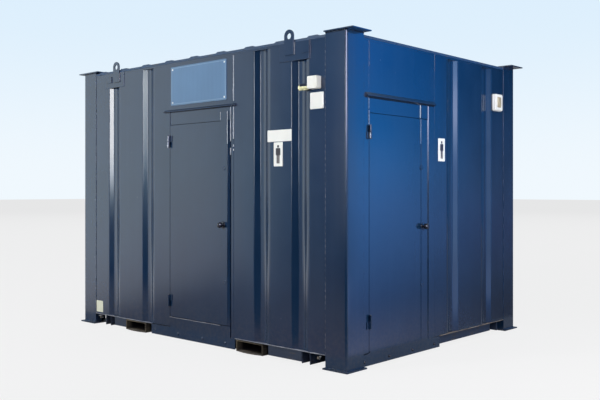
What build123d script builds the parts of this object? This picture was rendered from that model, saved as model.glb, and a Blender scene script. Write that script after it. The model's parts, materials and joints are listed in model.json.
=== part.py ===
"""Portable site cabin: a welded steel cabin, 12 ft by 9 ft, with a door in its front and one in its end.

Millimetres. +Z up, the ground at z = 0, the origin under the middle of the cabin.
The front wall faces -Y and the door end faces +X.

Each wall is drawn in its own frame and then turned into place: s runs along the wall, from left to
right as seen from outside, and depth runs into the wall from the flat outer face of the corner posts.
"""

from build123d import *
import os

# The cabin's overall size.
LENGTH = 3660.0  # front and back, over the corner posts
WIDTH = 2745.0  # ends, over the corner posts
WALL_BACK = 80.0  # depth of the inner lining's face
WALL_FACE = 4.0  # the wall sheet lies this far behind the posts' face
HEADER_FACE = 9.0  # the sheet over each door leaf lies a little further back

# Heights.
FOOT_THICK = 12.0
LIP_Z = 114.0  # bottom edge of the wall sheets
FLOOR_LOW, FLOOR_TOP = 107.0, 135.0
CEILING_Z = 2540.0
WALL_TOP = 2643.0
ROOF_TOP = 2664.0
POST_TOP = 2678.0
CAP_THICK = 10.0

# Corner posts: folded L sections.
POST_LEG = 218.0
POST_FOLD_R = 16.0

# Foot plates and cap plates, measured from the cabin's corner: how far out and how far in.
FOOT_OUT, FOOT_IN = 26.0, 228.0
CAP_OUT_Y, CAP_IN_Y = 30.0, 210.0
CAP_RIGHT_OUT, CAP_RIGHT_IN = 85.0, 213.0
CAP_LEFT_OUT, CAP_LEFT_IN = 60.0, 290.0

# Upright swages pressed into the wall sheets.
SWAGE_FLOOR = 61.0
SWAGE_SLOPE = 56.0
SWAGE_DEPTH = 25.0
FRONT_LEFT_SWAGES = (-1284.5, -706.5)
FRONT_RIGHT_SWAGES = (886.5, 1330.5)
END_SWAGES = (194.0, 819.0)
BACK_SWAGES = (-1240.0, -620.0, 0.0, 620.0, 1240.0)
LEFT_END_SWAGES = (-819.0, -273.0, 273.0, 819.0)

# Doors. Each hangs on its left edge, as seen from outside, and opens outwards.
LEAF_THICK = 45.0
LEAF_GAP = 5.0  # round the hinge edge, top and bottom, and in front of the stops
LOCK_GAP = 11.0  # beside the lock edge, which swings wide as the door opens
LEAF_TOP = 2046.0
STRIP_PROUD = 3.0  # the lock strip welded down the leaf's lock side
STOP_WIDE = 22.0
LOCK_STOP = 15.0  # how far the lock stop reaches behind the leaf
SLIT = 1.0  # between the stops and their neighbours
EDGE_DEPTH = 12.0  # depth of the bevels beside the lock gap
DRIP_Z = 2167.0  # foot of the drip rails
DRIP_OUT, DRIP_NOSE = 26.0, 3.0
DRIP_UNDER = 0.35  # how far up its height a rail's nose lies
DOORS = {
    "front": dict(
        side="front",
        seam=-355.5,
        lock=485.0,
        leaf_bevel=22.0,
        jamb_bevel=13.0,
        jamb_end=541.0,
        strip=(370.0, 460.0),
        strip_top=2132.0,
        bottom=212.0,
        knob=(403.0, 1112.0),
        drip=(-428.0, 576.0),
        drip_tall=28.0,
        sill_plate=(-646.0, 558.0),
    ),
    "end": dict(
        side="right",
        seam=-1080.5,
        lock=-230.0,
        leaf_bevel=6.0,
        jamb_bevel=8.0,
        jamb_end=-121.5,
        strip=(-335.0, -238.0),
        strip_top=LEAF_TOP,
        bottom=120.0,
        knob=(-307.5, 1108.0),
        drip=(-1130.0, -130.0),
        drip_tall=46.0,
        sill_plate=(-1154.5, -34.0),
    ),
}
SILL_UP = 15.0  # the stop behind the leaf's foot stands this far over the sill

# Hinges: two on each door, a knuckle on the frame under a knuckle on the leaf.
HINGE_ZS = (364.0, 1892.0)
HINGE_TALL = 112.0
KNUCKLE_R = 9.0
KNUCKLE_GAP = 2.0
AXIS_OUT = 17.0  # from the leaf's face out to the hinge axis
FLAP_WIDE, FLAP_THICK = 30.0, 6.0
WEB = (5.0, 11.0)  # the web between knuckle and flap, from the hinge axis along the wall

# Door knobs.
ROSE_R, ROSE_THICK = 30.0, 5.0
NECK_R = 9.0
BALL_R = 26.0
BALL_OUT = 37.0

# Lifting eyes: upright plates with a shackle hole, on backing plates near the top of both long walls.
EYE_SPOTS = (-1224.0, 1226.0)
EYE_WIDE, EYE_THICK = 104.0, 12.0
EYE_LOW, EYE_TOP = 2542.0, 2752.0
EYE_HOLE_R = 25.0
EYE_HOLE_Z = 2697.0
BACKING_SPOTS = (-1274.0, 1274.0)
BACKING_WIDE, BACKING_THICK = 334.0, 6.0
BACKING_LOW = 2492.0
LUG_SPOTS = (-1357.0, 1405.0)  # square lugs beside the eyes, towards the corners
LUG_WIDE, LUG_PROUD = 90.0, 10.0
LUG_HEIGHTS = (2543.0, 2605.0)

# Underframe.
RAIL_LOW = 17.0
FRONT_RAIL_FACE = 22.0
FRONT_RAILS = ((-1298.0, -1082.0), (-646.0, 558.0), (955.0, 1336.0))  # broken by the fork pockets
END_RAIL_FACE, END_RAIL_THICK = 64.0, 60.0
END_RAIL = (-1100.0, 993.0)
GUSSET = (1067.0, 1077.0)  # upright plate between the end rail and the far foot
GUSSET_FACE = 30.0
SILL_LOW = 12.0
SILL_THICK = 6.0
PLATE = 6.0  # plate of the cross channels
CHANNEL_LOW = 3.0
CHANNEL_WIDE = 94.0
CHANNEL_BACK = 26.0  # how far the channels' ends lie behind the posts' face
CHANNEL_SPOTS = (-1416.0, 1383.0)
POCKET_WIDE = 308.0  # clear width of a fork pocket
POCKET_WALL, POCKET_PLATE = 10.0, 8.0
POCKET_LOW, POCKET_HIGH = 3.0, 100.0
POCKET_SPOTS = (-907.5, 738.0)

# Roof sheet: how far its edge lies behind the posts' face, and its ribs.
ROOF_EDGE = 2.0
RIB_WIDE, RIB_HIGH, RIB_SLOPE = 130.0, 10.0, 20.0
RIB_PITCH, RIB_FIRST = 370.0, -1480.0
POST_CLEAR = 5.0  # the roof sheet stops this far outside the posts' plan

# Fittings, as (low, high) pairs along the wall and in height, and how far they stand proud.
SIGN_BOARD = ((-336.0, 450.0), (2234.0, 2602.0), 5.0)
JUNCTION_BOX = ((1462.0, 1564.0), (2238.0, 2339.0), 57.0)
COVER_PLATE = ((1452.0, 1594.0), (2077.0, 2211.0), 8.0)
FRONT_NOTICES = (((966.0, 1244.0), (1832.0, 1930.0)), ((1039.0, 1142.0), (1624.0, 1827.0)))
END_NOTICE = ((-60.0, 50.0), (1685.0, 1892.0))
NOTICE_THICK = 3.0
INLET_START, INLET_END, INLET_Z = 1362.0, 1444.0, 2256.0
INLET_R, INLET_OUT = 24.0, 30.0
COLLAR_R, COLLAR_LONG = 18.0, 18.0
LAMP = ((932.0, 1078.0), (2212.0, 2382.0), 38.0)
LAMP_CORNER_R = 14.0
GLASS_MIDDLE, GLASS_RADII, GLASS_PROUD = (1005.0, 2292.0), (50.0, 46.0), 16.0
STUB_LONG, STUB_SIDE = 50.0, 45.0  # square stub on the left face of the front left post
STUB_FROM_FRONT, STUB_LOW = 60.0, 1218.0

TURN = {"front": 0.0, "right": 90.0, "back": 180.0, "left": -90.0}
REACH = {"front": WIDTH / 2, "right": LENGTH / 2, "back": WIDTH / 2, "left": LENGTH / 2}


def on_side(shape, side):
    """Carry a shape from a wall's own frame (s, depth, z) to its place on the cabin."""
    return Rot(0, 0, TURN[side]) * Pos(0, -REACH[side], 0) * shape


def block(s, depth, z):
    """A box from three (low, high) pairs."""
    size = [high - low for low, high in (s, depth, z)]
    middle = [(high + low) / 2 for low, high in (s, depth, z)]
    return Pos(*middle) * Box(*size)


def around(middle, width):
    """The (low, high) pair of a width about its middle."""
    return middle - width / 2, middle + width / 2


def fixed_to(side, s, proud, z):
    """A block that stands proud of a wall's sheet."""
    return on_side(block(s, (WALL_FACE - proud, WALL_FACE), z), side)


def upright(points, z):
    """A plan outline of (s, depth) points, standing from z[0] to z[1]."""
    face = make_face(Polyline(*points, close=True))
    return Pos(0, 0, z[0]) * extrude(face, z[1] - z[0])


def along(points, s):
    """A cross-section of (depth, z) points, carried along the wall from s[0] to s[1]."""
    face = make_face(Plane.YZ * Polyline(*points, close=True))
    return Pos(s[0], 0, 0) * extrude(face, s[1] - s[0], dir=(1, 0, 0))


def swaged_wall(s, z, swages=()):
    """A wall between two stations, with upright swages pressed into its outer sheet."""
    outline = [(s[0], WALL_BACK), (s[0], WALL_FACE)]
    for middle in swages:
        half = SWAGE_FLOOR / 2
        deep = WALL_FACE + SWAGE_DEPTH
        outline += [
            (middle - half - SWAGE_SLOPE, WALL_FACE),
            (middle - half, deep),
            (middle + half, deep),
            (middle + half + SWAGE_SLOPE, WALL_FACE),
        ]
    outline += [(s[1], WALL_FACE), (s[1], WALL_BACK)]
    return upright(outline, z)


def corner(end, face):
    """The sign of X and of Y at one corner of the cabin."""
    return (1 if end == "right" else -1), (1 if face == "back" else -1)


CORNERS = [(end, face) for face in ("front", "back") for end in ("right", "left")]


def corner_box(end, face, x_in, x_out, y_in, y_out, z):
    """A box at a corner, reaching in and out from the corner's outer faces."""
    x_sign, y_sign = corner(end, face)
    xs = sorted((x_sign * (LENGTH / 2 - x_in), x_sign * (LENGTH / 2 + x_out)))
    ys = sorted((y_sign * (WIDTH / 2 - y_in), y_sign * (WIDTH / 2 + y_out)))
    return block(xs, ys, z)


def corner_post(end, face):
    """A folded L section with a rounded outer corner."""
    z = (FOOT_THICK, POST_TOP)
    whole = corner_box(end, face, POST_LEG, 0, POST_LEG, 0, z)
    x_sign, y_sign = corner(end, face)
    uprights = whole.edges().filter_by(Axis.Z)
    outer = max(uprights, key=lambda e: x_sign * e.center().X + y_sign * e.center().Y)
    inside = corner_box(end, face, POST_LEG, -WALL_BACK, POST_LEG, -WALL_BACK, z)
    return fillet(outer, POST_FOLD_R) - inside


def foot_plates():
    z = (0, FOOT_THICK)
    return [corner_box(end, face, FOOT_IN, FOOT_OUT, FOOT_IN, FOOT_OUT, z) for end, face in CORNERS]


def cap_plates():
    z = (POST_TOP, POST_TOP + CAP_THICK)
    plates = []
    for end, face in CORNERS:
        x_in, x_out = (CAP_RIGHT_IN, CAP_RIGHT_OUT) if end == "right" else (CAP_LEFT_IN, CAP_LEFT_OUT)
        plates.append(corner_box(end, face, x_in, x_out, CAP_IN_Y, CAP_OUT_Y, z))
    return plates


def on_long_walls(spots):
    """Each wall and station of fittings that both long walls carry, the back ones seen through."""
    for side, hand in (("front", 1), ("back", -1)):
        for spot in spots:
            yield side, hand * spot


def lifting_eyes():
    """Upright plates with a round head and a shackle hole."""
    eyes = []
    back = WALL_FACE - BACKING_THICK
    half = EYE_WIDE / 2
    for side, s in on_long_walls(EYE_SPOTS):
        outline = Pos(s, (EYE_LOW + EYE_TOP - half) / 2) * Rectangle(EYE_WIDE, EYE_TOP - half - EYE_LOW)
        outline += Pos(s, EYE_TOP - half) * Circle(half)
        outline -= Pos(s, EYE_HOLE_Z) * Circle(EYE_HOLE_R)
        eye = extrude(Plane.XZ * outline, EYE_THICK)
        eyes.append(on_side(Pos(0, back, 0) * eye, side))
    return eyes


def eye_backing_plates():
    """The plates behind the eyes, and a lug on each."""
    face = WALL_FACE - BACKING_THICK
    plate_z, lug_depth = (BACKING_LOW, WALL_TOP), (face - LUG_PROUD, face)
    plates = []
    for side, s in on_long_walls(BACKING_SPOTS):
        plates.append(on_side(block(around(s, BACKING_WIDE), (face, WALL_FACE), plate_z), side))
    for side, s in on_long_walls(LUG_SPOTS):
        plates.append(on_side(block(around(s, LUG_WIDE), lug_depth, LUG_HEIGHTS), side))
    return plates


def wall_end(door):
    """Where the wall stops beside the leaf's hinge edge."""
    return door["seam"] - LEAF_GAP / 2


def jamb_start(door):
    return door["lock"] + LOCK_GAP


def over_door(door):
    """The wall above a door: a deep band over the drip rail and a set-back header below it."""
    low = LEAF_TOP + LEAF_GAP
    band = block((wall_end(door), door["jamb_end"]), (WALL_FACE, WALL_BACK), (DRIP_Z, WALL_TOP))
    header = block((wall_end(door), jamb_start(door)), (HEADER_FACE, WALL_BACK), (low, DRIP_Z))
    wall = band + header
    if door["strip_top"] <= LEAF_TOP:
        wall += block(door["strip"], (WALL_FACE - STRIP_PROUD, HEADER_FACE), (low, DRIP_Z))
    return wall


def door_frame(door):
    """The lock jamb with its stop, the hinge stop and the head stop."""
    start, end = jamb_start(door), door["jamb_end"]
    stop_face = WALL_FACE + LEAF_THICK + LEAF_GAP
    low = door["bottom"] - LEAF_GAP
    high = LEAF_TOP + LEAF_GAP
    inner = start - LOCK_GAP - LOCK_STOP
    jamb = upright(
        [
            (start, WALL_FACE + EDGE_DEPTH),
            (start + door["jamb_bevel"], WALL_FACE),
            (end, WALL_FACE),
            (end, WALL_BACK),
            (start, WALL_BACK),
        ],
        (FLOOR_LOW, DRIP_Z),
    )
    lock_stop = block((inner, start), (stop_face, WALL_BACK), (low, high))
    left = wall_end(door)
    hinge_stop = block((left, left + STOP_WIDE), (stop_face, WALL_BACK), (low, high))
    head_s, head_z = (left + STOP_WIDE + SLIT, inner - SLIT), (high - STOP_WIDE, high)
    head_stop = block(head_s, (stop_face, WALL_BACK), head_z)
    return [jamb + lock_stop, hinge_stop, head_stop]


def door_sill(door):
    """The sill under a leaf, with its stop, and the plate flush with the wall that covers the underframe."""
    top = door["bottom"] - LEAF_GAP
    stop_face = WALL_FACE + LEAF_THICK + LEAF_GAP
    section = [
        (WALL_FACE, FLOOR_LOW),
        (WALL_FACE, top),
        (stop_face, top),
        (stop_face, top + SILL_UP),
        (WALL_BACK, top + SILL_UP),
        (WALL_BACK, FLOOR_LOW),
    ]
    depth = (WALL_FACE, WALL_FACE + SILL_THICK)
    sill = along(section, (wall_end(door) + STOP_WIDE + SLIT, door["lock"] - LOCK_STOP - SLIT))
    upper = block((wall_end(door), jamb_start(door)), depth, (FLOOR_LOW, top))
    lower = block(door["sill_plate"], depth, (SILL_LOW, FLOOR_LOW))
    return on_side(sill + upper + lower, door["side"])


def door_leaf(door):
    """A flat leaf with a bevelled lock edge and a strip welded down its lock side."""
    left, right = door["seam"] + LEAF_GAP / 2, door["lock"]
    back = WALL_FACE + LEAF_THICK
    leaf = upright(
        [
            (left, WALL_FACE),
            (right - door["leaf_bevel"], WALL_FACE),
            (right, WALL_FACE + EDGE_DEPTH),
            (right, back),
            (left, back),
        ],
        (door["bottom"], LEAF_TOP),
    )
    strip = block(door["strip"], (WALL_FACE - STRIP_PROUD, WALL_FACE), (door["bottom"], door["strip_top"]))
    return leaf + strip


def door_knob(door):
    """A round rose, a neck and a ball, turned about the spindle."""
    s, z = door["knob"]
    face = WALL_FACE - STRIP_PROUD
    spin = Pos(s, face, z) * Rot(90, 0, 0)
    rose = Pos(0, 0, ROSE_THICK / 2) * Cylinder(ROSE_R, ROSE_THICK)
    neck = Pos(0, 0, BALL_OUT / 2) * Cylinder(NECK_R, BALL_OUT)
    ball = Pos(0, 0, BALL_OUT) * Sphere(BALL_R)
    return spin * (rose + neck + ball)


def hinge_halves(door, on_leaf):
    """Both hinges' knuckles and flaps: the upper halves on the leaf, or the lower ones on the frame."""
    s, out = door["seam"], WALL_FACE - AXIS_OUT
    hand = 1 if on_leaf else -1
    halves = []
    for middle in HINGE_ZS:
        ends = (middle + KNUCKLE_GAP / 2, middle + HINGE_TALL / 2)
        if not on_leaf:
            ends = (middle - HINGE_TALL / 2, middle - KNUCKLE_GAP / 2)
        tall = ends[1] - ends[0]
        knuckle = Pos(s, out, (ends[0] + ends[1]) / 2) * Cylinder(KNUCKLE_R, tall)
        web = block(sorted(s + hand * w for w in WEB), (out, WALL_FACE), ends)
        flap_s = sorted((s + hand * WEB[0], s + hand * (WEB[0] + FLAP_WIDE)))
        flap = block(flap_s, (WALL_FACE - FLAP_THICK, WALL_FACE), ends)
        halves.append(on_side(knuckle + web + flap, door["side"]))
    return halves


def drip_rail(door):
    """An angle with its corner outwards: a sloping top, a narrow nose and a sloping underside."""
    tall = door["drip_tall"]
    out, middle = WALL_FACE - DRIP_OUT, DRIP_Z + DRIP_UNDER * tall
    nose = [(out, middle - DRIP_NOSE / 2), (out, middle + DRIP_NOSE / 2)]
    section = [(WALL_FACE, DRIP_Z), *nose, (WALL_FACE, DRIP_Z + tall)]
    return on_side(along(section, door["drip"]), door["side"])


def base_rail(side):
    """The rail's three lengths under a long wall; the back wall has them the other way round."""
    depth = (FRONT_RAIL_FACE, WALL_BACK)
    lengths = FRONT_RAILS if side == "front" else [(-high, -low) for low, high in FRONT_RAILS]
    return [on_side(block(s, depth, (RAIL_LOW, FLOOR_LOW)), side) for s in lengths]


def end_base_rails():
    """A rail set back under each end wall, and the gusset beside its far foot."""
    depth = (END_RAIL_FACE, END_RAIL_FACE + END_RAIL_THICK)
    gusset_depth = (GUSSET_FACE, END_RAIL_FACE + END_RAIL_THICK)
    pieces = []
    for side, hand in (("right", 1), ("left", -1)):
        rail = sorted(hand * s for s in END_RAIL)
        gusset = sorted(hand * s for s in GUSSET)
        pieces.append(on_side(block(rail, depth, (RAIL_LOW, FLOOR_LOW)), side))
        pieces.append(on_side(block(gusset, gusset_depth, (FOOT_THICK, FLOOR_LOW)), side))
    return pieces


def tube(middle, wide, reach, z, wall, plate, low_open=False):
    """A rectangular tube from front to back; with low_open, an upside-down channel."""
    outer = block(around(middle, wide), (-reach, reach), z)
    inner_low = z[0] if low_open else z[0] + plate
    inner = block(around(middle, wide - 2 * wall), (-reach, reach), (inner_low, z[1] - plate))
    return outer - inner


def cross_channels():
    """Upside-down channels from front to back under both ends."""
    reach = WIDTH / 2 - CHANNEL_BACK
    z = (CHANNEL_LOW, FLOOR_LOW)
    return [tube(middle, CHANNEL_WIDE, reach, z, PLATE, PLATE, low_open=True) for middle in CHANNEL_SPOTS]


def fork_pockets():
    """Rectangular tubes for fork-lift tines."""
    reach = WIDTH / 2 - WALL_FACE
    wide = POCKET_WIDE + 2 * POCKET_WALL
    z = (POCKET_LOW, POCKET_HIGH)
    return [tube(middle, wide, reach, z, POCKET_WALL, POCKET_PLATE) for middle in POCKET_SPOTS]


def inside_box(z):
    """A slab that fills the plan inside the walls."""
    half_x, half_y = LENGTH / 2 - WALL_BACK, WIDTH / 2 - WALL_BACK
    return block((-half_x, half_x), (-half_y, half_y), z)


def roof_sheet():
    """The flat roof sheet with low ribs from front to back, cut round the corner posts."""
    half_x, half_y = LENGTH / 2 - ROOF_EDGE, WIDTH / 2 - ROOF_EDGE
    sheet = block((-half_x, half_x), (-half_y, half_y), (WALL_TOP, ROOF_TOP))
    middle = RIB_FIRST
    while middle < half_x - POST_LEG:
        low, high = around(middle, RIB_WIDE)
        crest = ROOF_TOP + RIB_HIGH
        left, right = low + RIB_SLOPE, high - RIB_SLOPE
        section = [(low, ROOF_TOP), (left, crest), (right, crest), (high, ROOF_TOP)]
        sheet += extrude(make_face(Plane.XZ * Polyline(*section, close=True)), half_y, both=True)
        middle += RIB_PITCH
    z = (WALL_TOP - 1, ROOF_TOP + RIB_HIGH + 1)
    for end, face in CORNERS:
        square = corner_box(end, face, POST_LEG, POST_CLEAR, POST_LEG, POST_CLEAR, z)
        inside = corner_box(end, face, POST_LEG, -WALL_BACK, POST_LEG, -WALL_BACK, z)
        sheet -= square - inside
    return sheet


def notice_plates():
    """Thin white plates beside the doors."""
    plates = [fixed_to("front", s, NOTICE_THICK, z) for s, z in FRONT_NOTICES]
    return plates + [fixed_to("right", END_NOTICE[0], NOTICE_THICK, END_NOTICE[1])]


def power_inlet():
    """A round plug body lying along the wall, on a collar out of the junction box's side."""
    depth = WALL_FACE - INLET_OUT
    body_long = INLET_END - INLET_START
    body = Cylinder(INLET_R, body_long)
    collar = Pos(0, 0, (body_long + COLLAR_LONG) / 2) * Cylinder(COLLAR_R, COLLAR_LONG)
    lying = Pos((INLET_START + INLET_END) / 2, depth, INLET_Z) * Rot(0, 90, 0)
    return on_side(lying * (body + collar), "front")


def wall_lamp():
    """A lamp housing with a raised oval glass."""
    s, z, proud = LAMP
    face = WALL_FACE - proud
    housing = block(s, (face, WALL_FACE), z)
    housing = fillet(housing.edges().filter_by(Axis.Y), LAMP_CORNER_R)
    glass = extrude(Plane.XZ * Pos(*GLASS_MIDDLE) * Ellipse(*GLASS_RADII), GLASS_PROUD)
    return on_side(housing + Pos(0, face, 0) * glass, "right")


def post_stub():
    """A short square stub on the left face of the front left post."""
    y_low = STUB_FROM_FRONT - WIDTH / 2
    x = (-LENGTH / 2 - STUB_LONG, -LENGTH / 2)
    return block(x, (y_low, y_low + STUB_SIDE), (STUB_LOW, STUB_LOW + STUB_SIDE))


def save(name, shape):
    """Write one named piece, or several loose ones as one file."""
    solids = shape if isinstance(shape, list) else [shape]
    whole = Compound(children=[solid for item in solids for solid in item.solids()])
    export_step(whole, f"parts/{name}.step")


def save_frame():
    """The posts with their foot and cap plates, and the lifting eyes."""
    for end, face in CORNERS:
        save(f"corner_post_{face}_{end}", corner_post(end, face))
    save("foot_plates", foot_plates())
    save("cap_plates", cap_plates())
    save("lifting_eyes", lifting_eyes())
    save("eye_backing_plates", eye_backing_plates())


def save_walls():
    """The walls between the posts and beside the doors."""
    front, end = DOORS["front"], DOORS["end"]
    side_reach, end_reach = LENGTH / 2 - POST_LEG, WIDTH / 2 - POST_LEG
    walls = (
        ("front_wall_left", "front", (-side_reach, wall_end(front)), FRONT_LEFT_SWAGES),
        ("front_wall_right", "front", (front["jamb_end"], side_reach), FRONT_RIGHT_SWAGES),
        ("end_wall_hinge_side", "right", (-end_reach, wall_end(end)), ()),
        ("end_wall_lock_side", "right", (end["jamb_end"], end_reach), END_SWAGES),
        ("back_wall", "back", (-side_reach, side_reach), BACK_SWAGES),
        ("left_end_wall", "left", (-end_reach, end_reach), LEFT_END_SWAGES),
    )
    for name, side, s, swages in walls:
        save(name, on_side(swaged_wall(s, (LIP_Z, WALL_TOP), swages), side))


def save_doors():
    """Each door's wall above, frame, leaf, knob, hinges, sill and drip rail."""
    for name, door in DOORS.items():
        side = door["side"]
        save(f"{name}_wall_over_door", on_side(over_door(door), side))
        save(f"{name}_door_frame", [on_side(bar, side) for bar in door_frame(door)])
        save(f"{name}_door_leaf", on_side(door_leaf(door), side))
        save(f"{name}_door_knob", on_side(door_knob(door), side))
        save(f"{name}_door_hinges", hinge_halves(door, True))
        save(f"{name}_frame_hinges", hinge_halves(door, False))
        save(f"{name}_sill", door_sill(door))
    save("drip_rails", [drip_rail(door) for door in DOORS.values()])


def save_base_and_roof():
    save("front_base_rail", base_rail("front"))
    save("back_base_rail", base_rail("back"))
    save("end_base_rails", end_base_rails())
    save("cross_channels", cross_channels())
    save("fork_pockets", fork_pockets())
    save("floor", inside_box((FLOOR_LOW, FLOOR_TOP)))
    save("ceiling", inside_box((CEILING_Z, WALL_TOP)))
    save("roof_sheet", roof_sheet())


def save_fittings():
    for name, (s, z, proud) in (
        ("sign_board", SIGN_BOARD),
        ("junction_box", JUNCTION_BOX),
        ("cover_plate", COVER_PLATE),
    ):
        save(name, fixed_to("front", s, proud, z))
    save("notice_plates", notice_plates())
    save("power_inlet", power_inlet())
    save("wall_lamp", wall_lamp())
    save("post_stub", post_stub())


os.makedirs("parts", exist_ok=True)
save_frame()
save_walls()
save_doors()
save_base_and_roof()
save_fittings()
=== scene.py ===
"""Portable site cabin: the finish of its steel, and the fittings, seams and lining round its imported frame.

Metres. +Z up, the ground at z = 0, the front wall faces -Y and the door end faces +X.
A wall has a frame of its own: s runs from left to right as seen from outside, depth runs inwards
from the flat face of the corner posts, and z is the height.
"""

import json

import bmesh
import bpy
import numpy as np
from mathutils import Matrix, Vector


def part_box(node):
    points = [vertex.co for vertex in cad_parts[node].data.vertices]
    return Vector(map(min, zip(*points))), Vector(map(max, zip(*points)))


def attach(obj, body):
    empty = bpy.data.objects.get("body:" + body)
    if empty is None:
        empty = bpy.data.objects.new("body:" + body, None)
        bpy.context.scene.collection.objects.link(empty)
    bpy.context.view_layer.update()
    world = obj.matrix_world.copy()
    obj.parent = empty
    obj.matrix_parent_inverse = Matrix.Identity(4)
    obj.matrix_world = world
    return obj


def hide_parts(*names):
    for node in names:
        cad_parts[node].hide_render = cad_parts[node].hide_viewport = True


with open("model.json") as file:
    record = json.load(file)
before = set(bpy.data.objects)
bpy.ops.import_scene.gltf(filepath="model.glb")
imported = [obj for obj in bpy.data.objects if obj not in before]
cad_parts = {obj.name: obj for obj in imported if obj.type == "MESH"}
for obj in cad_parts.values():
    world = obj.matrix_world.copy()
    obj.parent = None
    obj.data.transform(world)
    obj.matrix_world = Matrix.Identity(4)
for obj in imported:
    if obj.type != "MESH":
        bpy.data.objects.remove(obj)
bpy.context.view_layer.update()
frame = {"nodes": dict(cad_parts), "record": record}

MM = 0.001


# ------------------------------------------------------------------ measures


def corners_of(node):
    """Lowest and highest corner of a node, as arrays."""
    low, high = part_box(node)
    return np.array(low), np.array(high)


NEAR_POST_LOW, NEAR_POST_HIGH = corners_of("corner_post_front_right")
HALF_LENGTH = NEAR_POST_HIGH[0]
HALF_WIDTH = -NEAR_POST_LOW[1]
POST_LEG = NEAR_POST_HIGH[0] - NEAR_POST_LOW[0]
POST_BASE, POST_TOP = NEAR_POST_LOW[2], NEAR_POST_HIGH[2]
WALL_LOW, WALL_TOP = (corner[2] for corner in corners_of("back_wall"))
FLOOR_TOP = corners_of("floor")[1][2]
CEILING_LOW = corners_of("ceiling")[0][2]
LEAF_TOP = corners_of("end_door_leaf")[1][2]
DRIP_LOW, DRIP_HIGH = (corner[2] for corner in corners_of("drip_rails"))

# Depths from the flat face of the corner posts.
WALL_FACE = 4 * MM
HEADER_FACE = 9 * MM
LEAF_BACK = 49 * MM
STEEL_BACK = 74 * MM
WALL_BACK = 80 * MM

SIDES = ("front", "right", "back", "left")
ALONG = {"front": (1, 0), "right": (0, 1), "back": (-1, 0), "left": (0, -1)}
INWARD = {"front": (0, 1), "right": (-1, 0), "back": (0, -1), "left": (1, 0)}
REACH = {"front": HALF_WIDTH, "right": HALF_LENGTH, "back": HALF_WIDTH, "left": HALF_LENGTH}
HALF_RUN = {"front": HALF_LENGTH, "right": HALF_WIDTH, "back": HALF_LENGTH, "left": HALF_WIDTH}


def on_side(side, s, depth, z):
    """Points of a wall's frame in the cabin's frame: s times the wall's direction, plus depth less the
    wall's reach times the inward direction, with z kept."""
    s, depth, z = np.broadcast_arrays(s, depth, z)
    plan = s[..., None] * np.array(ALONG[side]) + (depth - REACH[side])[..., None] * np.array(INWARD[side])
    return np.concatenate([plan, z[..., None]], axis=-1)


def outward(side):
    """The direction that a wall faces."""
    return -np.array([*INWARD[side], 0.0])


def seen_from(side, node):
    """A node's vertices in a wall's frame, as columns s, depth and z."""
    mesh = frame["nodes"][node].data
    points = np.empty(len(mesh.vertices) * 3)
    mesh.vertices.foreach_get("co", points)
    points = points.reshape(-1, 3)
    s = points[:, :2] @ np.array(ALONG[side])
    depth = points[:, :2] @ np.array(INWARD[side]) + REACH[side]
    return np.stack([s, depth, points[:, 2]], axis=1)


def span(side, node):
    """Lowest and highest (s, depth, z) of a node in a wall's frame."""
    points = seen_from(side, node)
    return points.min(0), points.max(0)


def front_of(side, node):
    """A fitting's (low, high) pairs of s and of z on its wall, and the depth of its face."""
    low, high = span(side, node)
    return (low[0], high[0]), (low[2], high[2]), low[1]


# ------------------------------------------------------------------ shapes


def grid_faces(rows, columns, around=False):
    """Quads over a grid of points: each point with its neighbours in the next row and column.
    With around, the last row meets the first."""
    index = np.arange(rows * columns).reshape(rows, columns)
    if around:
        index = np.concatenate([index, index[:1]])
    return np.stack([index[:-1, :-1], index[1:, :-1], index[1:, 1:], index[:-1, 1:]], -1).reshape(-1, 4)


def rounded_outline(half, radius, inset, steps):
    """Points anticlockwise round a rounded rectangle drawn in by the inset: each corner's centre, which
    lies the larger of radius and inset inside the edges, plus what is left of the radius times (cos, sin)."""
    angle = (np.linspace(0, np.pi / 2, steps) + np.arange(4)[:, None] * np.pi / 2).ravel()
    sign = np.repeat([(1, 1), (-1, 1), (-1, -1), (1, -1)], steps, axis=0)
    centre = np.maximum(np.array(half) - max(radius, inset), 0)
    left = max(radius - inset, 0)
    return sign * centre + left * np.stack([np.cos(angle), np.sin(angle)], -1)


def square_to(way, askew):
    """A unit vector square to a direction, found from another that isn't along it."""
    across = np.cross(way, askew)
    return across / np.linalg.norm(across)


WIDE = 3.0  # an inset that draws any outline here in to its middle
RIM = 2 * MM  # from the rim of a flat end to the ring that keeps the rim's shading off it
BEAD_SIDES = 7
SWELL, SWELL_RUN = 0.2, 60 * MM  # the slow swelling of a weld bead, and the run over which it turns by 1


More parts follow.
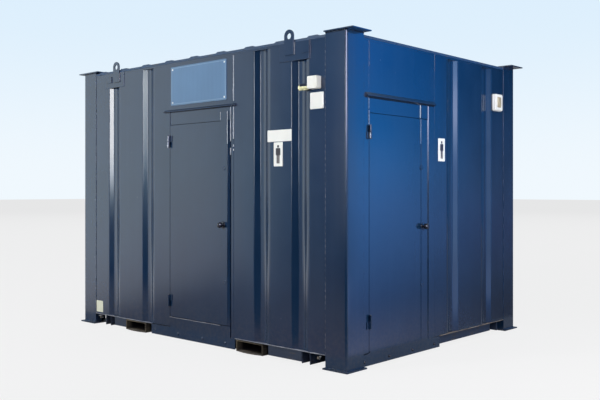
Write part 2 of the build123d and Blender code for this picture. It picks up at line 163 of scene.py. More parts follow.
class Shape:
    """Points and quads gathered for one piece."""

    def __init__(self):
        self.points, self.faces, self.total = [], [], 0

    def add(self, points, faces):
        points = np.asarray(points, float).reshape(-1, 3)
        self.points.append(points)
        self.faces.append(np.asarray(faces) + self.total)
        self.total += len(points)
        return self

    def surface(self, grid, around=False):
        """An open surface over a grid (rows, columns, 3), facing rows cross columns."""
        return self.add(grid, grid_faces(grid.shape[0], grid.shape[1], around))

    def slab(self, outer, inner):
        """A closed solid: the outer grid, the inner grid turned over, and a rim of quads round both."""
        rows, columns = outer.shape[:2]
        count = rows * columns
        front = grid_faces(rows, columns)
        index = np.arange(count).reshape(rows, columns)
        ring = np.concatenate([index[:, 0], index[-1, 1:], index[-2::-1, -1], index[0, -2::-1]])
        rim = np.stack([ring[1:], ring[:-1], ring[:-1] + count, ring[1:] + count], -1)
        both = np.concatenate([outer.reshape(-1, 3), inner.reshape(-1, 3)])
        return self.add(both, np.concatenate([front, front[:, ::-1] + count, rim]))

    def block(self, side, s, depth, z):
        """A box between three (low, high) pairs of a wall's frame: a slab of one quad."""
        s, z = np.meshgrid(np.array(s), np.array(z), indexing="ij")
        return self.slab(on_side(side, s, depth[0], z), on_side(side, s, depth[1], z))

    def moulded(self, side, s, z, radius, profile, steps=6):
        """A form with a rounded rectangular outline: for each (inset, depth) of the profile, from the
        middle of its back to the middle of its face, the outline drawn in by the inset at that depth."""
        half = (s[1] - s[0]) / 2, (z[1] - z[0]) / 2
        if profile[-1][0] > min(half):
            profile = [*profile[:-1], (profile[-2][0] + RIM, profile[-1][1]), profile[-1]]
        if profile[0][0] > min(half):
            profile = [profile[0], (profile[1][0] + RIM, profile[0][1]), *profile[1:]]
        middle = (s[1] + s[0]) / 2, (z[1] + z[0]) / 2
        rings = [on_side(side, middle[0] + ring[:, 0], depth, middle[1] + ring[:, 1])
                 for inset, depth in profile
                 for ring in [rounded_outline(half, radius, inset, steps)]]
        return self.surface(np.stack(rings, axis=1), around=True)

    def plate(self, side, s, z, radius, edge, steps=6):
        """A moulded form whose profile runs from the middle of its back, along the edge, to the middle
        of its face."""
        return self.moulded(side, s, z, radius, [(WIDE, edge[0][1]), *edge, (WIDE, edge[-1][1])], steps)

    def turned(self, centre, axis, profile, steps=24):
        """A profile of (distance along the axis, radius) turned about the axis: every point goes to
        centre + distance * axis + radius * (cos * across + sin * up)."""
        profile = np.array(profile, float)
        axis = np.array(axis, float) / np.linalg.norm(axis)
        across = square_to(axis, (0.31, 0.17, 0.93))
        angle = np.linspace(0, 2 * np.pi, steps, endpoint=False)[:, None, None]
        out = np.cos(angle) * across + np.sin(angle) * np.cross(axis, across)
        return self.surface(np.array(centre) + profile[:, :1] * axis + profile[:, 1:] * out, around=True)

    def carried(self, path, across, up, profile, scale=1.0):
        """A closed profile of (across, up) offsets carried along a path: point (i, j) is
        path_i + scale_i * (profile_j.across * across + profile_j.up * up), with each end closed to the
        path. Across, up and the path's direction are right-handed, and the profile runs anticlockwise."""
        path = np.asarray(path, float)
        profile = np.asarray(profile, float)
        size = np.broadcast_to(np.asarray(scale, float), (len(path),))[:, None, None]
        offset = profile[None, :, :1] * np.asarray(across) + profile[None, :, 1:] * np.asarray(up)
        closed = np.concatenate([path[:1, None] + 0 * offset, path[:, None] + size * offset,
                                 path[-1:, None] + 0 * offset])
        return self.surface(closed.swapaxes(0, 1), around=True)

    def bead(self, start, end, radius=3.5 * MM, ripple=0.16, pitch=11 * MM):
        """A run of weld: a round section carried along a straight line, its radius times
        1 + ripple * sin(2 pi d / pitch) + 0.2 * sin(d / 60 mm), where d is the way along it."""
        start, end = np.array(start, float), np.array(end, float)
        long = np.linalg.norm(end - start)
        way = (end - start) / long
        d = stations(0, long, pitch / 4)
        across = square_to(way, (0.31, 0.52, 0.79))
        turn = 2 * np.pi * np.arange(BEAD_SIDES) / BEAD_SIDES
        scale = 1 + ripple * np.sin(2 * np.pi * d / pitch) + SWELL * np.sin(d / SWELL_RUN)
        section = radius * np.stack([np.cos(turn), np.sin(turn)], -1)
        return self.carried(start + d[:, None] * way, across, np.cross(way, across), section, scale)

    def stitches(self, side, s, depth, z, long=70 * MM, pitch=150 * MM, **settings):
        """Short upright runs of weld, one at every pitch of the height."""
        for low in np.arange(z[0], z[1] - long, pitch):
            self.weld(side, s, depth, (low, low + long), **settings)
        return self

    def weld(self, side, s, depth, z, **settings):
        """A bead between two places of a wall's frame; each of s, depth and z is a value or a pair."""
        ends = [on_side(side, *(np.broadcast_to(v, 2)[end] for v in (s, depth, z))) for end in (0, 1)]
        return self.bead(*ends, **settings)

    def dome(self, side, s, depth, z, radius, high, steps=16):
        """A low round head on a wall: height high * (1 - (r / radius)^2), turned about its middle."""
        r = radius * np.array([0.0, 1.0, 1.0, 0.86, 0.62, 0.32, 0.0])
        up = high * np.array([0.0, 0.0, 0.25, 0.62, 0.84, 0.96, 1.0])
        return self.turned(on_side(side, s, depth, z), outward(side), np.stack([up, r], -1), steps)


def mesh_of(name, shape, material):
    """A new mesh of a shape's points and quads in one material, and its object in the scene."""
    mesh = bpy.data.meshes.new(name)
    mesh.from_pydata(np.concatenate(shape.points).tolist(), [], np.concatenate(shape.faces).tolist())
    mesh.materials.append(material)
    made = bpy.data.objects.new(name, mesh)
    bpy.context.scene.collection.objects.link(made)
    return mesh, made


def piece(name, shape, finish="blue_paint", body="cabin", bevel=0.0, sharp=35.0,
          replaces=()):
    """One finished mesh: smooth where its faces meet at less than the sharp angle, with rounded edges
    where bevel gives a width."""
    mesh, made = mesh_of(name, shape, FINISHES[finish])
    merged = bmesh.new()
    merged.from_mesh(mesh)
    bmesh.ops.remove_doubles(merged, verts=merged.verts, dist=0.01 * MM)
    merged.to_mesh(mesh)
    merged.free()
    mesh.polygons.foreach_set("use_smooth", [True] * len(mesh.polygons))
    mesh.set_sharp_from_angle(angle=np.radians(sharp))
    if bevel:
        round_edges(made, bevel)
    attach(made, body)
    if replaces:
        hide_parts(*replaces)
    return made


def round_edges(made, width, segments=2, angle=30.0):
    """A bevel on every sharp edge."""
    edge = made.modifiers.new("rounded_edges", "BEVEL")
    edge.width = width
    edge.segments = segments
    edge.limit_method = "ANGLE"
    edge.angle_limit = np.radians(angle)
    edge.harden_normals = True


def stations(start, end, step):
    """Evenly spaced values from start to end, no further apart than step."""
    return np.linspace(start, end, max(2, int(np.ceil(abs(end - start) / step)) + 1))


def smooth(t):
    """3 t^2 - 2 t^3 of a value held between 0 and 1."""
    t = np.clip(t, 0, 1)
    return t * t * (3 - 2 * t)


EASE_SHARE = 0.45  # the most of a run beside a corner that its ease takes


def eased(points, ease, steps=7):
    """A polyline with its inner corners eased: each corner P gives way to the curve
    (1-t)^2 A + 2t(1-t) P + t^2 B, where A and B lie at the ease's distance before and after it. The
    ease is one value, or one for each corner in turn, repeated as often as needed."""
    points = np.array(points, float)
    before, corner, after = points[:-2], points[1:-1], points[2:]
    back, ahead = before - corner, after - corner
    back_long = np.linalg.norm(back, axis=1, keepdims=True)
    ahead_long = np.linalg.norm(ahead, axis=1, keepdims=True)
    wanted = np.resize(ease, len(corner))[:, None]
    reach = np.minimum(wanted, EASE_SHARE * np.minimum(back_long, ahead_long))
    a = (corner + back / back_long * reach)[:, None]
    b = (corner + ahead / ahead_long * reach)[:, None]
    t = np.linspace(0, 1, steps)[None, :, None]
    curve = (1 - t) ** 2 * a + 2 * t * (1 - t) * corner[:, None] + t**2 * b
    return np.concatenate([points[:1], curve.reshape(-1, 2), points[-1:]])


def refined(line, step, guard=2 * MM):
    """A polyline with points added on its long runs: one a guard's length from each end, which keeps a
    bend's shading off the flat beside it, and between them others spaced by the step at most."""
    parts = []
    for a, b in zip(line[:-1], line[1:]):
        near = guard / max(np.linalg.norm(b - a), guard)
        t = np.zeros(1)
        if near < 0.1:
            t = np.concatenate([t, stations(near, 1 - near, step * near / guard)])
        parts.append(a + t[:, None] * (b - a))
    return np.concatenate(parts + [line[-1:]])


WAVE_LONG, WAVE_SHORT = 1.9, 1.25
WAVE_SUM = 3.1  # about the most that both waves come to


def buckle(s, z, seed, deep=0.9 * MM):
    """How far a thin sheet stands in or out of flat: for each length L of wave, the sum of
    L * sin(2 pi s / 0.8 L + 0.7 sin(z / L + lean) + turn_s) * sin(2 pi z / 1.3 L + turn_z), with the turns
    and the lean drawn from the seed, scaled to the depth given."""
    draw = np.random.default_rng(seed)
    total = np.zeros(np.broadcast(s, z).shape)
    for long in (WAVE_LONG, WAVE_SHORT):
        turn_s, turn_z, lean = draw.uniform(0, 2 * np.pi, 3)
        across = np.sin(2 * np.pi * s / (0.8 * long) + turn_s + 0.7 * np.sin(z / long + lean))
        total += long * across * np.sin(2 * np.pi * z / (1.3 * long) + turn_z)
    return deep * total / WAVE_SUM


def held(value, margin=110 * MM):
    """0 at both ends of a range of values and 1 further than the margin inside it."""
    return smooth(np.minimum(value - value.min(), value.max() - value) / margin)


def sheet(side, line, z, seed, deep=0.9 * MM, back=STEEL_BACK):
    """The outer and inner grids of a steel sheet: the line of (s, depth) carried up through z and
    buckled, but held true along its edges, and a flat back."""
    s, depth = line[:, :1], line[:, 1:]
    wave = buckle(s, z, seed, deep) * held(s) * held(z[None, :])
    return on_side(side, s, depth + wave, z), on_side(side, s, back, z + 0 * s)


def flat_line(s, depth, step=70 * MM):
    """A straight line of (s, depth) points between two stations."""
    return refined(np.array([(s[0], depth), (s[1], depth)]), step)


# ------------------------------------------------------------------ finishes


class Value:
    """A number on a socket, so that shader maths reads as arithmetic."""

    def __init__(self, finish, socket):
        self.finish, self.socket = finish, socket

    def _math(self, operation, *values):
        return self.finish.node("ShaderNodeMath", {"operation": operation}, dict(enumerate(values)))

    def __add__(self, other):
        return self._math("ADD", self, other)

    def __sub__(self, other):
        return self._math("SUBTRACT", self, other)

    def __rsub__(self, other):
        return self._math("SUBTRACT", other, self)

    def __mul__(self, other):
        return self._math("MULTIPLY", self, other)

    def __truediv__(self, other):
        return self._math("DIVIDE", self, other)

    __radd__ = __add__
    __rmul__ = __mul__

    def slope(self, low, high):
        """0 below low, 1 above high and a straight line between."""
        sockets = {"Value": self, "From Min": low, "From Max": high}
        return self.finish.node("ShaderNodeMapRange", None, sockets)

    def ramp(self, low, high):
        """0 below low, 1 above high and a smooth step between; the other way up if low is the greater."""
        sockets = {"Value": self, "From Min": low, "From Max": high}
        return self.finish.node("ShaderNodeMapRange", {"interpolation_type": "SMOOTHSTEP"}, sockets)

    def wave(self, pitch):
        """The sine of the value, once round for each pitch."""
        return self._math("SINE", self * (2 * np.pi / pitch))

    def most(self, other):
        """The greater of two values."""
        return self._math("MAXIMUM", self, other)


class Finish:
    """A material and the few kinds of node that it needs."""

    def __init__(self, name, owner=None):
        self.material = owner or bpy.data.materials.new(name)
        self.material.use_nodes = True
        self.tree = self.material.node_tree
        self.tree.nodes.clear()

    def node(self, kind, settings=None, sockets=None, output=0):
        """Any node: its settings first, a ramp's stops as (place, colour) among them, then a value or a
        link for each socket, by name or number."""
        made = self.tree.nodes.new(kind)
        for key, value in (settings or {}).items():
            if key == "stops":
                self._set_stops(made.color_ramp.elements, value)
            else:
                setattr(made, key, value)
        for key, value in (sockets or {}).items():
            socket = made.inputs[key]
            if isinstance(value, Value):
                self.tree.links.new(value.socket, socket)
            elif socket.type == "RGBA":
                socket.default_value = (*value, 1.0)
            else:
                socket.default_value = value
        return Value(self, made.outputs[output]) if made.outputs else made

    @staticmethod
    def _set_stops(elements, stops):
        for _ in stops[2:]:
            elements.new(1.0)
        for element, (place, colour) in zip(elements, stops):
            element.position = place
            element.color = (*colour, 1.0)

    def place(self):
        """Position in the cabin's frame."""
        return self.node("ShaderNodeTexCoord", output="Object")

    def axes(self, vector):
        """The three parts of a vector."""
        parts = self.node("ShaderNodeSeparateXYZ", sockets={0: vector}).socket.node.outputs
        return [Value(self, part) for part in parts]

    def stretched(self, vector, scale):
        """A vector times another, part by part."""
        return self.node("ShaderNodeVectorMath", {"operation": "MULTIPLY"}, {0: vector, 1: scale})

    def noise(self, vector, scale, detail=3.0, rough=0.55):
        sockets = {"Vector": vector, "Scale": scale, "Detail": detail, "Roughness": rough}
        return self.node("ShaderNodeTexNoise", sockets=sockets)

    def cells(self, vector, scale):
        """Distance from the middle of the nearest of many scattered cells."""
        return self.node("ShaderNodeTexVoronoi", sockets={"Vector": vector, "Scale": scale})

    def mix(self, factor, a, b):
        """The colour a where factor is 0 and b where it is 1."""
        return self.node("ShaderNodeMix", {"data_type": "RGBA"}, {0: factor, 6: a, 7: b}, output=2)

    def graded(self, value, top, stops):
        """A colour read off stops, given as {value: colour}, whose parts are at most the top: the ramp
        holds them divided by the top, and the caller gives the top back as strength."""
        reach = max(stops)
        held = [(at / reach, tuple(part / top for part in colour)) for at, colour in stops.items()]
        return self.node("ShaderNodeValToRGB", {"stops": held}, {0: value / reach})

    def bump(self, height, strength, distance):
        sockets = {"Strength": strength, "Distance": distance, "Height": height}
        return self.node("ShaderNodeBump", sockets=sockets)

    def surface(self, **sockets):
        """The principled shader with its sockets by name, joined to the output."""
        named = {key.replace("_", " "): value for key, value in sockets.items()}
        return self.joined(self.node("ShaderNodeBsdfPrincipled", sockets=named))

    def joined(self, shader, output="ShaderNodeOutputMaterial"):
        """The shader joined to the output; gives the material."""
        self.node(output, sockets={"Surface": shader})
        return self.material


DUST = (0.115, 0.096, 0.070)
# Near black painted shade for the inside of the fork pockets.
PAINTED_SHADE = (0.003, 0.002, 0.001)
PRIMER = (0.20, 0.22, 0.25)
PAINTED_SHADE_STARTS, PAINTED_SHADE_FULL = 0.03, 0.09  # how far inside a pocket's mouth
POCKET_SHEEN, COMMON_SHEEN = 0.1, 0.5


def enamel(name, colour, gloss=0.11, dirt=0.10, chips=0.5):
    """Gloss enamel on steel: slow changes of shade, faint runs down it, orange peel in the film, small
    chips down to the primer, and dust on its foot."""
    f = Finish(name)
    place = f.place()
    z = f.axes(place)[2]
    cloud = f.noise(place, 1.7).ramp(0.3, 0.7)
    grain = f.noise(place, 34.0, 4.0)
    runs = f.noise(f.stretched(place, (13.0, 13.0, 0.55)), 1.0).ramp(0.45, 0.75)
    peel = f.noise(place, 260.0, 2.0)
    chip = f.cells(place, 9.0).ramp(0.055, 0.03) * f.noise(place, 2.3).ramp(0.56, 0.7) * chips
    dusty = z.ramp(0.55, 0.02) * grain.ramp(0.35, 0.7) * dirt
    lighter = tuple(1.18 * part + 0.003 for part in colour)
    shade = f.mix(cloud * 0.7 + runs * 0.3, colour, lighter)
    shade = f.mix(chip, shade, PRIMER)
    shade = f.mix(dusty, shade, DUST)
    rough = gloss + 0.04 * cloud + 0.02 * runs + 0.3 * dusty + 0.3 * chip
    film = f.bump(peel + chip * -3.0, 0.05, 0.0006)
    return f.surface(Base_Color=shade, Roughness=rough, Normal=film, IOR=1.5)


def scuffed(name, colour, wear, rub=0.5, gloss=0.42, mouth=None):
    """Dull paint that is handled roughly: blotches, scrapes that run along it, and patches where the
    wear colour comes through. A mouth's distance from the cabin's middle gives it painted shade further in."""
    f = Finish(name)
    place = f.place()
    blotch = f.noise(place, 5.0, 5.0, 0.65)
    scrape = f.noise(f.stretched(place, (7.0, 7.0, 70.0)), 1.0, 4.0)
    grain = f.noise(place, 90.0, 3.0)
    worn = (blotch * 0.6 + scrape * 0.4).ramp(0.66 - 0.3 * rub, 0.72 - 0.2 * rub)
    darker = tuple(0.62 * part for part in colour)
    shade = f.mix(grain.ramp(0.3, 0.7), darker, colour)
    shade = f.mix(worn * 0.8, shade, wear)
    if mouth:
        # Painted shade: the colour goes near black further inside a pocket's mouth.
        y = f.axes(place)[1]
        deep = y.most(y * -1.0).ramp(mouth - PAINTED_SHADE_STARTS, mouth - PAINTED_SHADE_FULL)
        shade = f.mix(deep, shade, PAINTED_SHADE)
    rough = gloss + 0.25 * worn + 0.1 * grain
    return f.surface(Base_Color=shade, Roughness=rough, Normal=f.bump(grain + worn * -0.6, 0.25, 0.0008),
                     Specular_IOR_Level=POCKET_SHEEN if mouth else COMMON_SHEEN)


def moulding(name, colour, gloss=0.38, yellowing=0.10, speckle=420.0):
    """Moulded plastic: a fine spark texture, and slow yellowing."""
    f = Finish(name)
    place = f.place()
    slow = f.noise(place, 11.0, 3.0)
    spark = f.noise(place, speckle, 2.0)
    aged = (colour[0] * 0.97, colour[1] * 0.93, colour[2] * 0.80)
    shade = f.mix(slow.ramp(0.35, 0.75) * (yellowing * 4), colour, aged)
    rough = gloss + 0.08 * slow
    return f.surface(Base_Color=shade, Roughness=rough, Normal=f.bump(spark, 0.12, 0.0004))


def printed(name, colour, gloss=0.28, streak=0.06):
    """A printed or sprayed flat panel: an even coat with faint upright wiping marks."""
    f = Finish(name)
    place = f.place()
    wipe = f.noise(f.stretched(place, (26.0, 26.0, 2.0)), 1.0, 3.0)
    slow = f.noise(place, 3.0)
    deeper = tuple((1 - 2 * streak) * part for part in colour)
    shade = f.mix(wipe.ramp(0.3, 0.7) * 0.5 + slow.ramp(0.3, 0.7) * 0.5, colour, deeper)
    return f.surface(Base_Color=shade, Roughness=gloss + 0.08 * wipe, Normal=f.bump(slow, 0.05, 0.002))


def vinyl(name, colour, fleck):
    """Sheet flooring: small light and dark flecks, and a worn path in its sheen."""
    f = Finish(name)
    place = f.place()
    flecks = f.cells(place, 95.0)
    tone = f.noise(place, 160.0, 2.0)
    tread = f.noise(place, 1.3)
    shade = f.mix(flecks.ramp(0.34, 0.2) * 0.8, colour, fleck)
    shade = f.mix(tone.ramp(0.62, 0.7) * 0.5, shade, tuple(0.4 * part for part in colour))
    return f.surface(Base_Color=shade, Roughness=0.35 + 0.2 * tread, Normal=f.bump(tone, 0.15, 0.0005))


def lining(name, colour):
    """Faced wall board: a fine woven emboss and a few hand marks."""
    f = Finish(name)
    place = f.place()
    x, y, z = f.axes(place)
    pitch = 4 * MM
    weave = (x + y).wave(pitch) * z.wave(pitch)
    marks = f.noise(place, 2.1, 4.0).ramp(0.55, 0.8)
    grubby = tuple(part * scale for part, scale in zip(colour, (0.86, 0.84, 0.80)))
    shade = f.mix(marks * 0.5, colour, grubby)
    return f.surface(Base_Color=shade, Roughness=0.42 + 0.1 * marks, Normal=f.bump(weave, 0.08, 0.0003))


NAVY = (0.0042, 0.0195, 0.0520)
BARE_STEEL, WORN_STEEL = (0.055, 0.046, 0.032), (0.115, 0.092, 0.060)

FINISHES = {
    "blue_paint": enamel("blue_enamel", NAVY),
    "underframe_paint": scuffed("underframe_enamel", (0.010, 0.022, 0.050), (0.050, 0.040, 0.034), rub=0.35),
    "roof_paint": scuffed("roof_enamel", (0.012, 0.045, 0.110), (0.060, 0.062, 0.060), rub=0.4),
    "worn_steel": scuffed("worn_steel", BARE_STEEL, WORN_STEEL, rub=0.8, gloss=0.5),
    # The pocket steel is given painted shade further inside each mouth.
    "pocket_steel": scuffed("pocket_steel", BARE_STEEL, WORN_STEEL, rub=0.8, gloss=0.5, mouth=HALF_WIDTH),
    # Wear and painted highlight: this rubbed finish is pale partly from wear and partly as a painted
    # highlight.
    "rubbed_wear_and_highlight": scuffed("rubbed_wear_and_highlight", (0.23, 0.24, 0.28), (0.36, 0.37, 0.40), rub=0.6, gloss=0.4),
    # Painted highlights: the two sealant finishes below are pale colours for beads that stand in for
    # highlights.
    "pale_painted_highlight": scuffed("pale_painted_highlight", (0.72, 0.76, 0.82), (0.46, 0.50, 0.58), rub=0.5, gloss=0.5),
    "dim_painted_highlight": scuffed("dim_painted_highlight", (0.30, 0.38, 0.52), (0.06, 0.11, 0.24), rub=0.6, gloss=0.4),
    "joint_filler": scuffed("joint_filler", (0.10, 0.115, 0.14), (0.03, 0.045, 0.075), rub=0.5, gloss=0.5),
    # Rust and painted highlight: this edge finish is rust brown, and pale partly as a painted highlight.
    "rust_and_highlight_edge": scuffed("rust_and_highlight_edge", (0.16, 0.115, 0.075), (0.22, 0.18, 0.13), rub=0.6, gloss=0.5),
    "dark_metal": enamel("dark_enamel", (0.006, 0.008, 0.016), gloss=0.10, dirt=0.0, chips=0.1),
    "board_blue": printed("board_blue", (0.080, 0.175, 0.310)),
    "white_plate": printed("white_plate", (0.88, 0.865, 0.80), streak=0.02),
    "white_plastic": moulding("white_plastic", (0.89, 0.875, 0.80)),
    "yellow_plastic": moulding("yellow_plastic", (0.93, 0.89, 0.52), yellowing=0.02),
    "floor_board": vinyl("floor_vinyl", (0.16, 0.18, 0.20), (0.42, 0.44, 0.46)),
    "white_lining": lining("white_lining", (0.76, 0.76, 0.73)),
    "pale_border": printed("pale_border", (0.24, 0.36, 0.50), gloss=0.3),
    "figure_print": printed("figure_print", (0.022, 0.017, 0.020), gloss=0.4),
    "figure_grey": printed("figure_grey", (0.060, 0.045, 0.045), gloss=0.4),
    "lens_plastic": moulding("lens_plastic", (0.44, 0.37, 0.24), gloss=0.22, speckle=120.0),
    "cream_label": printed("cream_label", (0.66, 0.66, 0.51), streak=0.08),
    "scuffed_edge": scuffed("scuffed_edge", (0.075, 0.068, 0.075), (0.16, 0.14, 0.13), rub=0.7, gloss=0.4),
    "bright_screw": scuffed("bright_screw", (0.55, 0.56, 0.57), (0.30, 0.27, 0.22), rub=0.2, gloss=0.3),
}


# ------------------------------------------------------------------ the cabin's steel

SLOT_OF = {part["node"]: part["material_slot"] for part in frame["record"]["subparts"]}
for node, made in frame["nodes"].items():
    made.data.materials.clear()
    made.data.materials.append(FINISHES["pocket_steel" if node == "fork_pockets" else SLOT_OF[node]])


def soften(width, *nodes):
    """Rounded edges on nodes that stay as packed: their loose triangles are welded first."""
    for node in nodes:
        weld = frame["nodes"][node].modifiers.new("welded_corners", "WELD")
        weld.merge_threshold = 0.01 * MM
        round_edges(frame["nodes"][node], width)


soften(1.2 * MM, "lifting_eyes", "eye_backing_plates", "foot_plates", "cap_plates", "post_stub")
soften(1.0 * MM, "front_sill", "end_sill", "drip_rails", "front_base_rail", "back_base_rail",
       "end_base_rails", "cross_channels", "fork_pockets", "front_door_frame", "end_door_frame")

# How far the four bends of each swage are eased, in order along the wall: one flank is pressed sharp.
SHARP_BEND, SOFT_BEND = 7 * MM, 26 * MM
FRONT_EASES = (SHARP_BEND, SHARP_BEND, SOFT_BEND, SOFT_BEND)
END_EASES = FRONT_EASES[::-1]
SHEET_STEP = 60 * MM


def wall_outline(side, node):
    """The (s, depth) line of a wall's outer sheet, read along the node's lower edge from left to right."""
    points = seen_from(side, node)
    low = points[np.isclose(points[:, 2], points[:, 2].min(), atol=1e-5)]
    outer = np.unique(low[low[:, 1] < WALL_BACK - MM][:, :2].round(5), axis=0)
    return outer[np.argsort(outer[:, 0])]


WALLS = (
    ("front_sheet_left", "front", "front_wall_left"),
    ("front_sheet_right", "front", "front_wall_right"),
    ("end_sheet_hinge_side", "right", "end_wall_hinge_side"),
    ("end_sheet_lock_side", "right", "end_wall_lock_side"),
    ("back_sheet", "back", "back_wall"),
    ("left_end_sheet", "left", "left_end_wall"),
)


FIRST_SEED = 11


def pressed_walls():
    """Each swaged sheet: the wall's outline with its bends eased, carried from the lower edge to the
    top, buckled a little, and closed by a flat back."""
    for number, (name, side, node) in enumerate(WALLS):
        low, high = span(side, node)
        eases = FRONT_EASES if side == "front" else END_EASES
        line = refined(eased(wall_outline(side, node), eases), SHEET_STEP)
        z = stations(low[2], high[2], SHEET_STEP)
        shape = Shape().slab(*sheet(side, line, z, seed=FIRST_SEED + number))
        piece(name, shape, bevel=0.5 * MM, replaces=[node])


POST_FOLD = 16 * MM


def corner_post(side, end, face):
    """A folded post: along one wall, round a quarter turn and along the next, with the inner faces
    stopped at the angle where the two linings meet. Side is the wall on its left as seen from outside."""
    after = SIDES[(SIDES.index(side) + 1) % 4]
    reach, next_start = HALF_RUN[side], -HALF_RUN[after]
    leg = refined(np.array([(reach - POST_LEG, 0.0), (reach - POST_FOLD, 0.0)]), 50 * MM)[:, 0]
    angle = np.linspace(0, np.pi / 2, 11)[1:-1]
    z = stations(POST_BASE, POST_TOP, 70 * MM)
    ease = POST_FOLD * (1 - np.cos(angle))
    outer_a = on_side(side, leg[:, None], 0.0, z)
    bend = on_side(side, (reach - POST_FOLD + POST_FOLD * np.sin(angle))[:, None], ease[:, None], z)
    outer_b = on_side(after, (next_start + reach - leg[::-1])[:, None], 0.0, z)
    stop = np.minimum(leg, reach - STEEL_BACK)
    inner_a = on_side(side, stop[:, None], STEEL_BACK, z)
    inner_bend = on_side(side, (reach - STEEL_BACK) + 0 * angle[:, None], STEEL_BACK, z)
    inner_b = on_side(after, (next_start + reach - stop[::-1])[:, None], STEEL_BACK, z)
    outer = np.concatenate([outer_a, bend, outer_b])
    inner = np.concatenate([inner_a, inner_bend, inner_b])
    piece(f"folded_post_{face}_{end}", Shape().slab(outer, inner), bevel=0.8 * MM,
          replaces=[f"corner_post_{face}_{end}"])


def corner_posts():
    for side, end, face in (("front", "right", "front"), ("right", "right", "back"),
                            ("back", "left", "back"), ("left", "left", "front")):
        corner_post(side, end, face)


# ------------------------------------------------------------------ the doors and the steel round them


class Doorway:
    """A door's stations, read from its nodes; the bevel and the lock strip are measures of its own."""

    def __init__(self, name, side, bevel, strip, seed):
        self.name, self.side, self.body = name, side, f"{name}_door"
        self.bevel, self.strip, self.seed = bevel, strip, seed
        low, high = span(side, f"{name}_door_leaf")
        self.left, self.lock, self.bottom, self.strip_top = low[0], high[0], low[2], high[2]
        low, high = span(side, f"{name}_wall_over_door")
        self.wall_end, self.jamb_end, self.head = low[0], high[0], low[2]
        self.seam = (self.left + self.wall_end) / 2
        self.jamb_start = self.lock + 11 * MM
        knob_low, knob_high = span(side, f"{name}_door_knob")
        self.knob = (knob_low + knob_high) / 2


DOORWAYS = (
    Doorway("front", "front", 22 * MM, (370 * MM, 460 * MM), 31),
    Doorway("end", "right", 6 * MM, (-335 * MM, -238 * MM), 41),
)
FRONT_DOOR, END_DOOR = DOORWAYS
EDGE_DEPTH = 12 * MM
STRIP_PROUD = 3 * MM


def sheets_over(door):
    """The deep band over the drip rail and the set-back header below it, both a little buckled, and the
    end of a lock strip that stops at the leaf's head."""
    band_z = stations(DRIP_LOW, WALL_TOP, SHEET_STEP)
    header_z = stations(door.head, DRIP_LOW, 40 * MM)
    shape = Shape()
    band = flat_line((door.wall_end, door.jamb_end), WALL_FACE)
    header = flat_line((door.wall_end, door.jamb_start), HEADER_FACE)
    shape.slab(*sheet(door.side, band, band_z, door.seed))
    shape.slab(*sheet(door.side, header, header_z, door.seed + 1, deep=0.5 * MM))
    if door.strip_top <= LEAF_TOP + MM:
        shape.block(door.side, door.strip, (WALL_FACE - STRIP_PROUD, HEADER_FACE), (door.head, DRIP_LOW))
    piece(f"{door.name}_sheets_over_door", shape, bevel=0.5 * MM,
          replaces=[f"{door.name}_wall_over_door"])


BOARD_MARGIN, BOARD_CORNER = 24 * MM, 10 * MM
BOARD_EDGE = [(2 * MM, LEAF_BACK), (0, LEAF_BACK - MM), (0, LEAF_BACK - 3 * MM)]


def leaf(door):
    """The leaf's steel face, folded back at its lock edge, with the lock strip welded on and an inner
    board let in behind."""
    line = np.array([(door.left, WALL_FACE), (door.lock - door.bevel, WALL_FACE),
                     (door.lock, EDGE_DEPTH + WALL_FACE)])
    z = stations(door.bottom, LEAF_TOP, 50 * MM)
    shape = Shape().slab(*sheet(door.side, refined(eased(line, 3 * MM), 50 * MM), z, door.seed + 2,
                                deep=0.8 * MM, back=LEAF_BACK - 2 * MM))
    shape.block(door.side, door.strip, (WALL_FACE - STRIP_PROUD, WALL_FACE + MM),
                (door.bottom, door.strip_top))
    piece(f"{door.name}_leaf_steel", shape, body=door.body, bevel=0.7 * MM,
          replaces=[f"{door.name}_door_leaf"])
    s = door.left + BOARD_MARGIN, door.lock - BOARD_MARGIN
    z = door.bottom + BOARD_MARGIN, LEAF_TOP - BOARD_MARGIN
    board = Shape().plate(door.side, s, z, BOARD_CORNER, BOARD_EDGE)
    piece(f"{door.name}_leaf_board", board, "white_lining", door.body)


KNOB_ROSE, KNOB_NECK, KNOB_BALL, KNOB_OUT = 30 * MM, 9 * MM, 26 * MM, 37 * MM


def knob(door):
    """A ball on a neck on a round rose, turned about the spindle: the ball's radius runs as
    sqrt(R^2 - (d - D)^2) from the neck to its tip."""
    start = KNOB_OUT - np.sqrt(KNOB_BALL**2 - KNOB_NECK**2)
    turn = np.linspace(np.arccos((KNOB_OUT - start) / KNOB_BALL), np.pi, 16)
    ball = np.stack([KNOB_OUT - KNOB_BALL * np.cos(turn), KNOB_BALL * np.sin(turn)], -1)
    ball[-1, 1] = 0.0
    rose = [(0, 0), (0, KNOB_ROSE), (3 * MM, KNOB_ROSE), (4.4 * MM, KNOB_ROSE - 1.5 * MM),
            (5 * MM, KNOB_ROSE - 5 * MM), (5 * MM, KNOB_NECK + 3 * MM), (6 * MM, KNOB_NECK + MM),
            (8 * MM, KNOB_NECK)]
    centre = on_side(door.side, door.knob[0], WALL_FACE - STRIP_PROUD, door.knob[2])
    shape = Shape().turned(centre, outward(door.side), np.concatenate([rose, ball]), steps=40)
    piece(f"{door.name}_knob", shape, "dark_metal", door.body, sharp=50,
          replaces=[f"{door.name}_door_knob"])


HINGE_HEIGHTS = (364 * MM, 1892 * MM)
KNUCKLE_R, KNUCKLE_GAP, AXIS_OUT = 9 * MM, 2 * MM, 17 * MM
FLAP_START, FLAP_END, FLAP_THICK, WEB_END = 5 * MM, 35 * MM, 6 * MM, 11 * MM


PIN_HEAD = [(-MM, 0), (-MM, 5.5 * MM), (1.5 * MM, 5.5 * MM), (3 * MM, 4 * MM), (3.4 * MM, 0)]


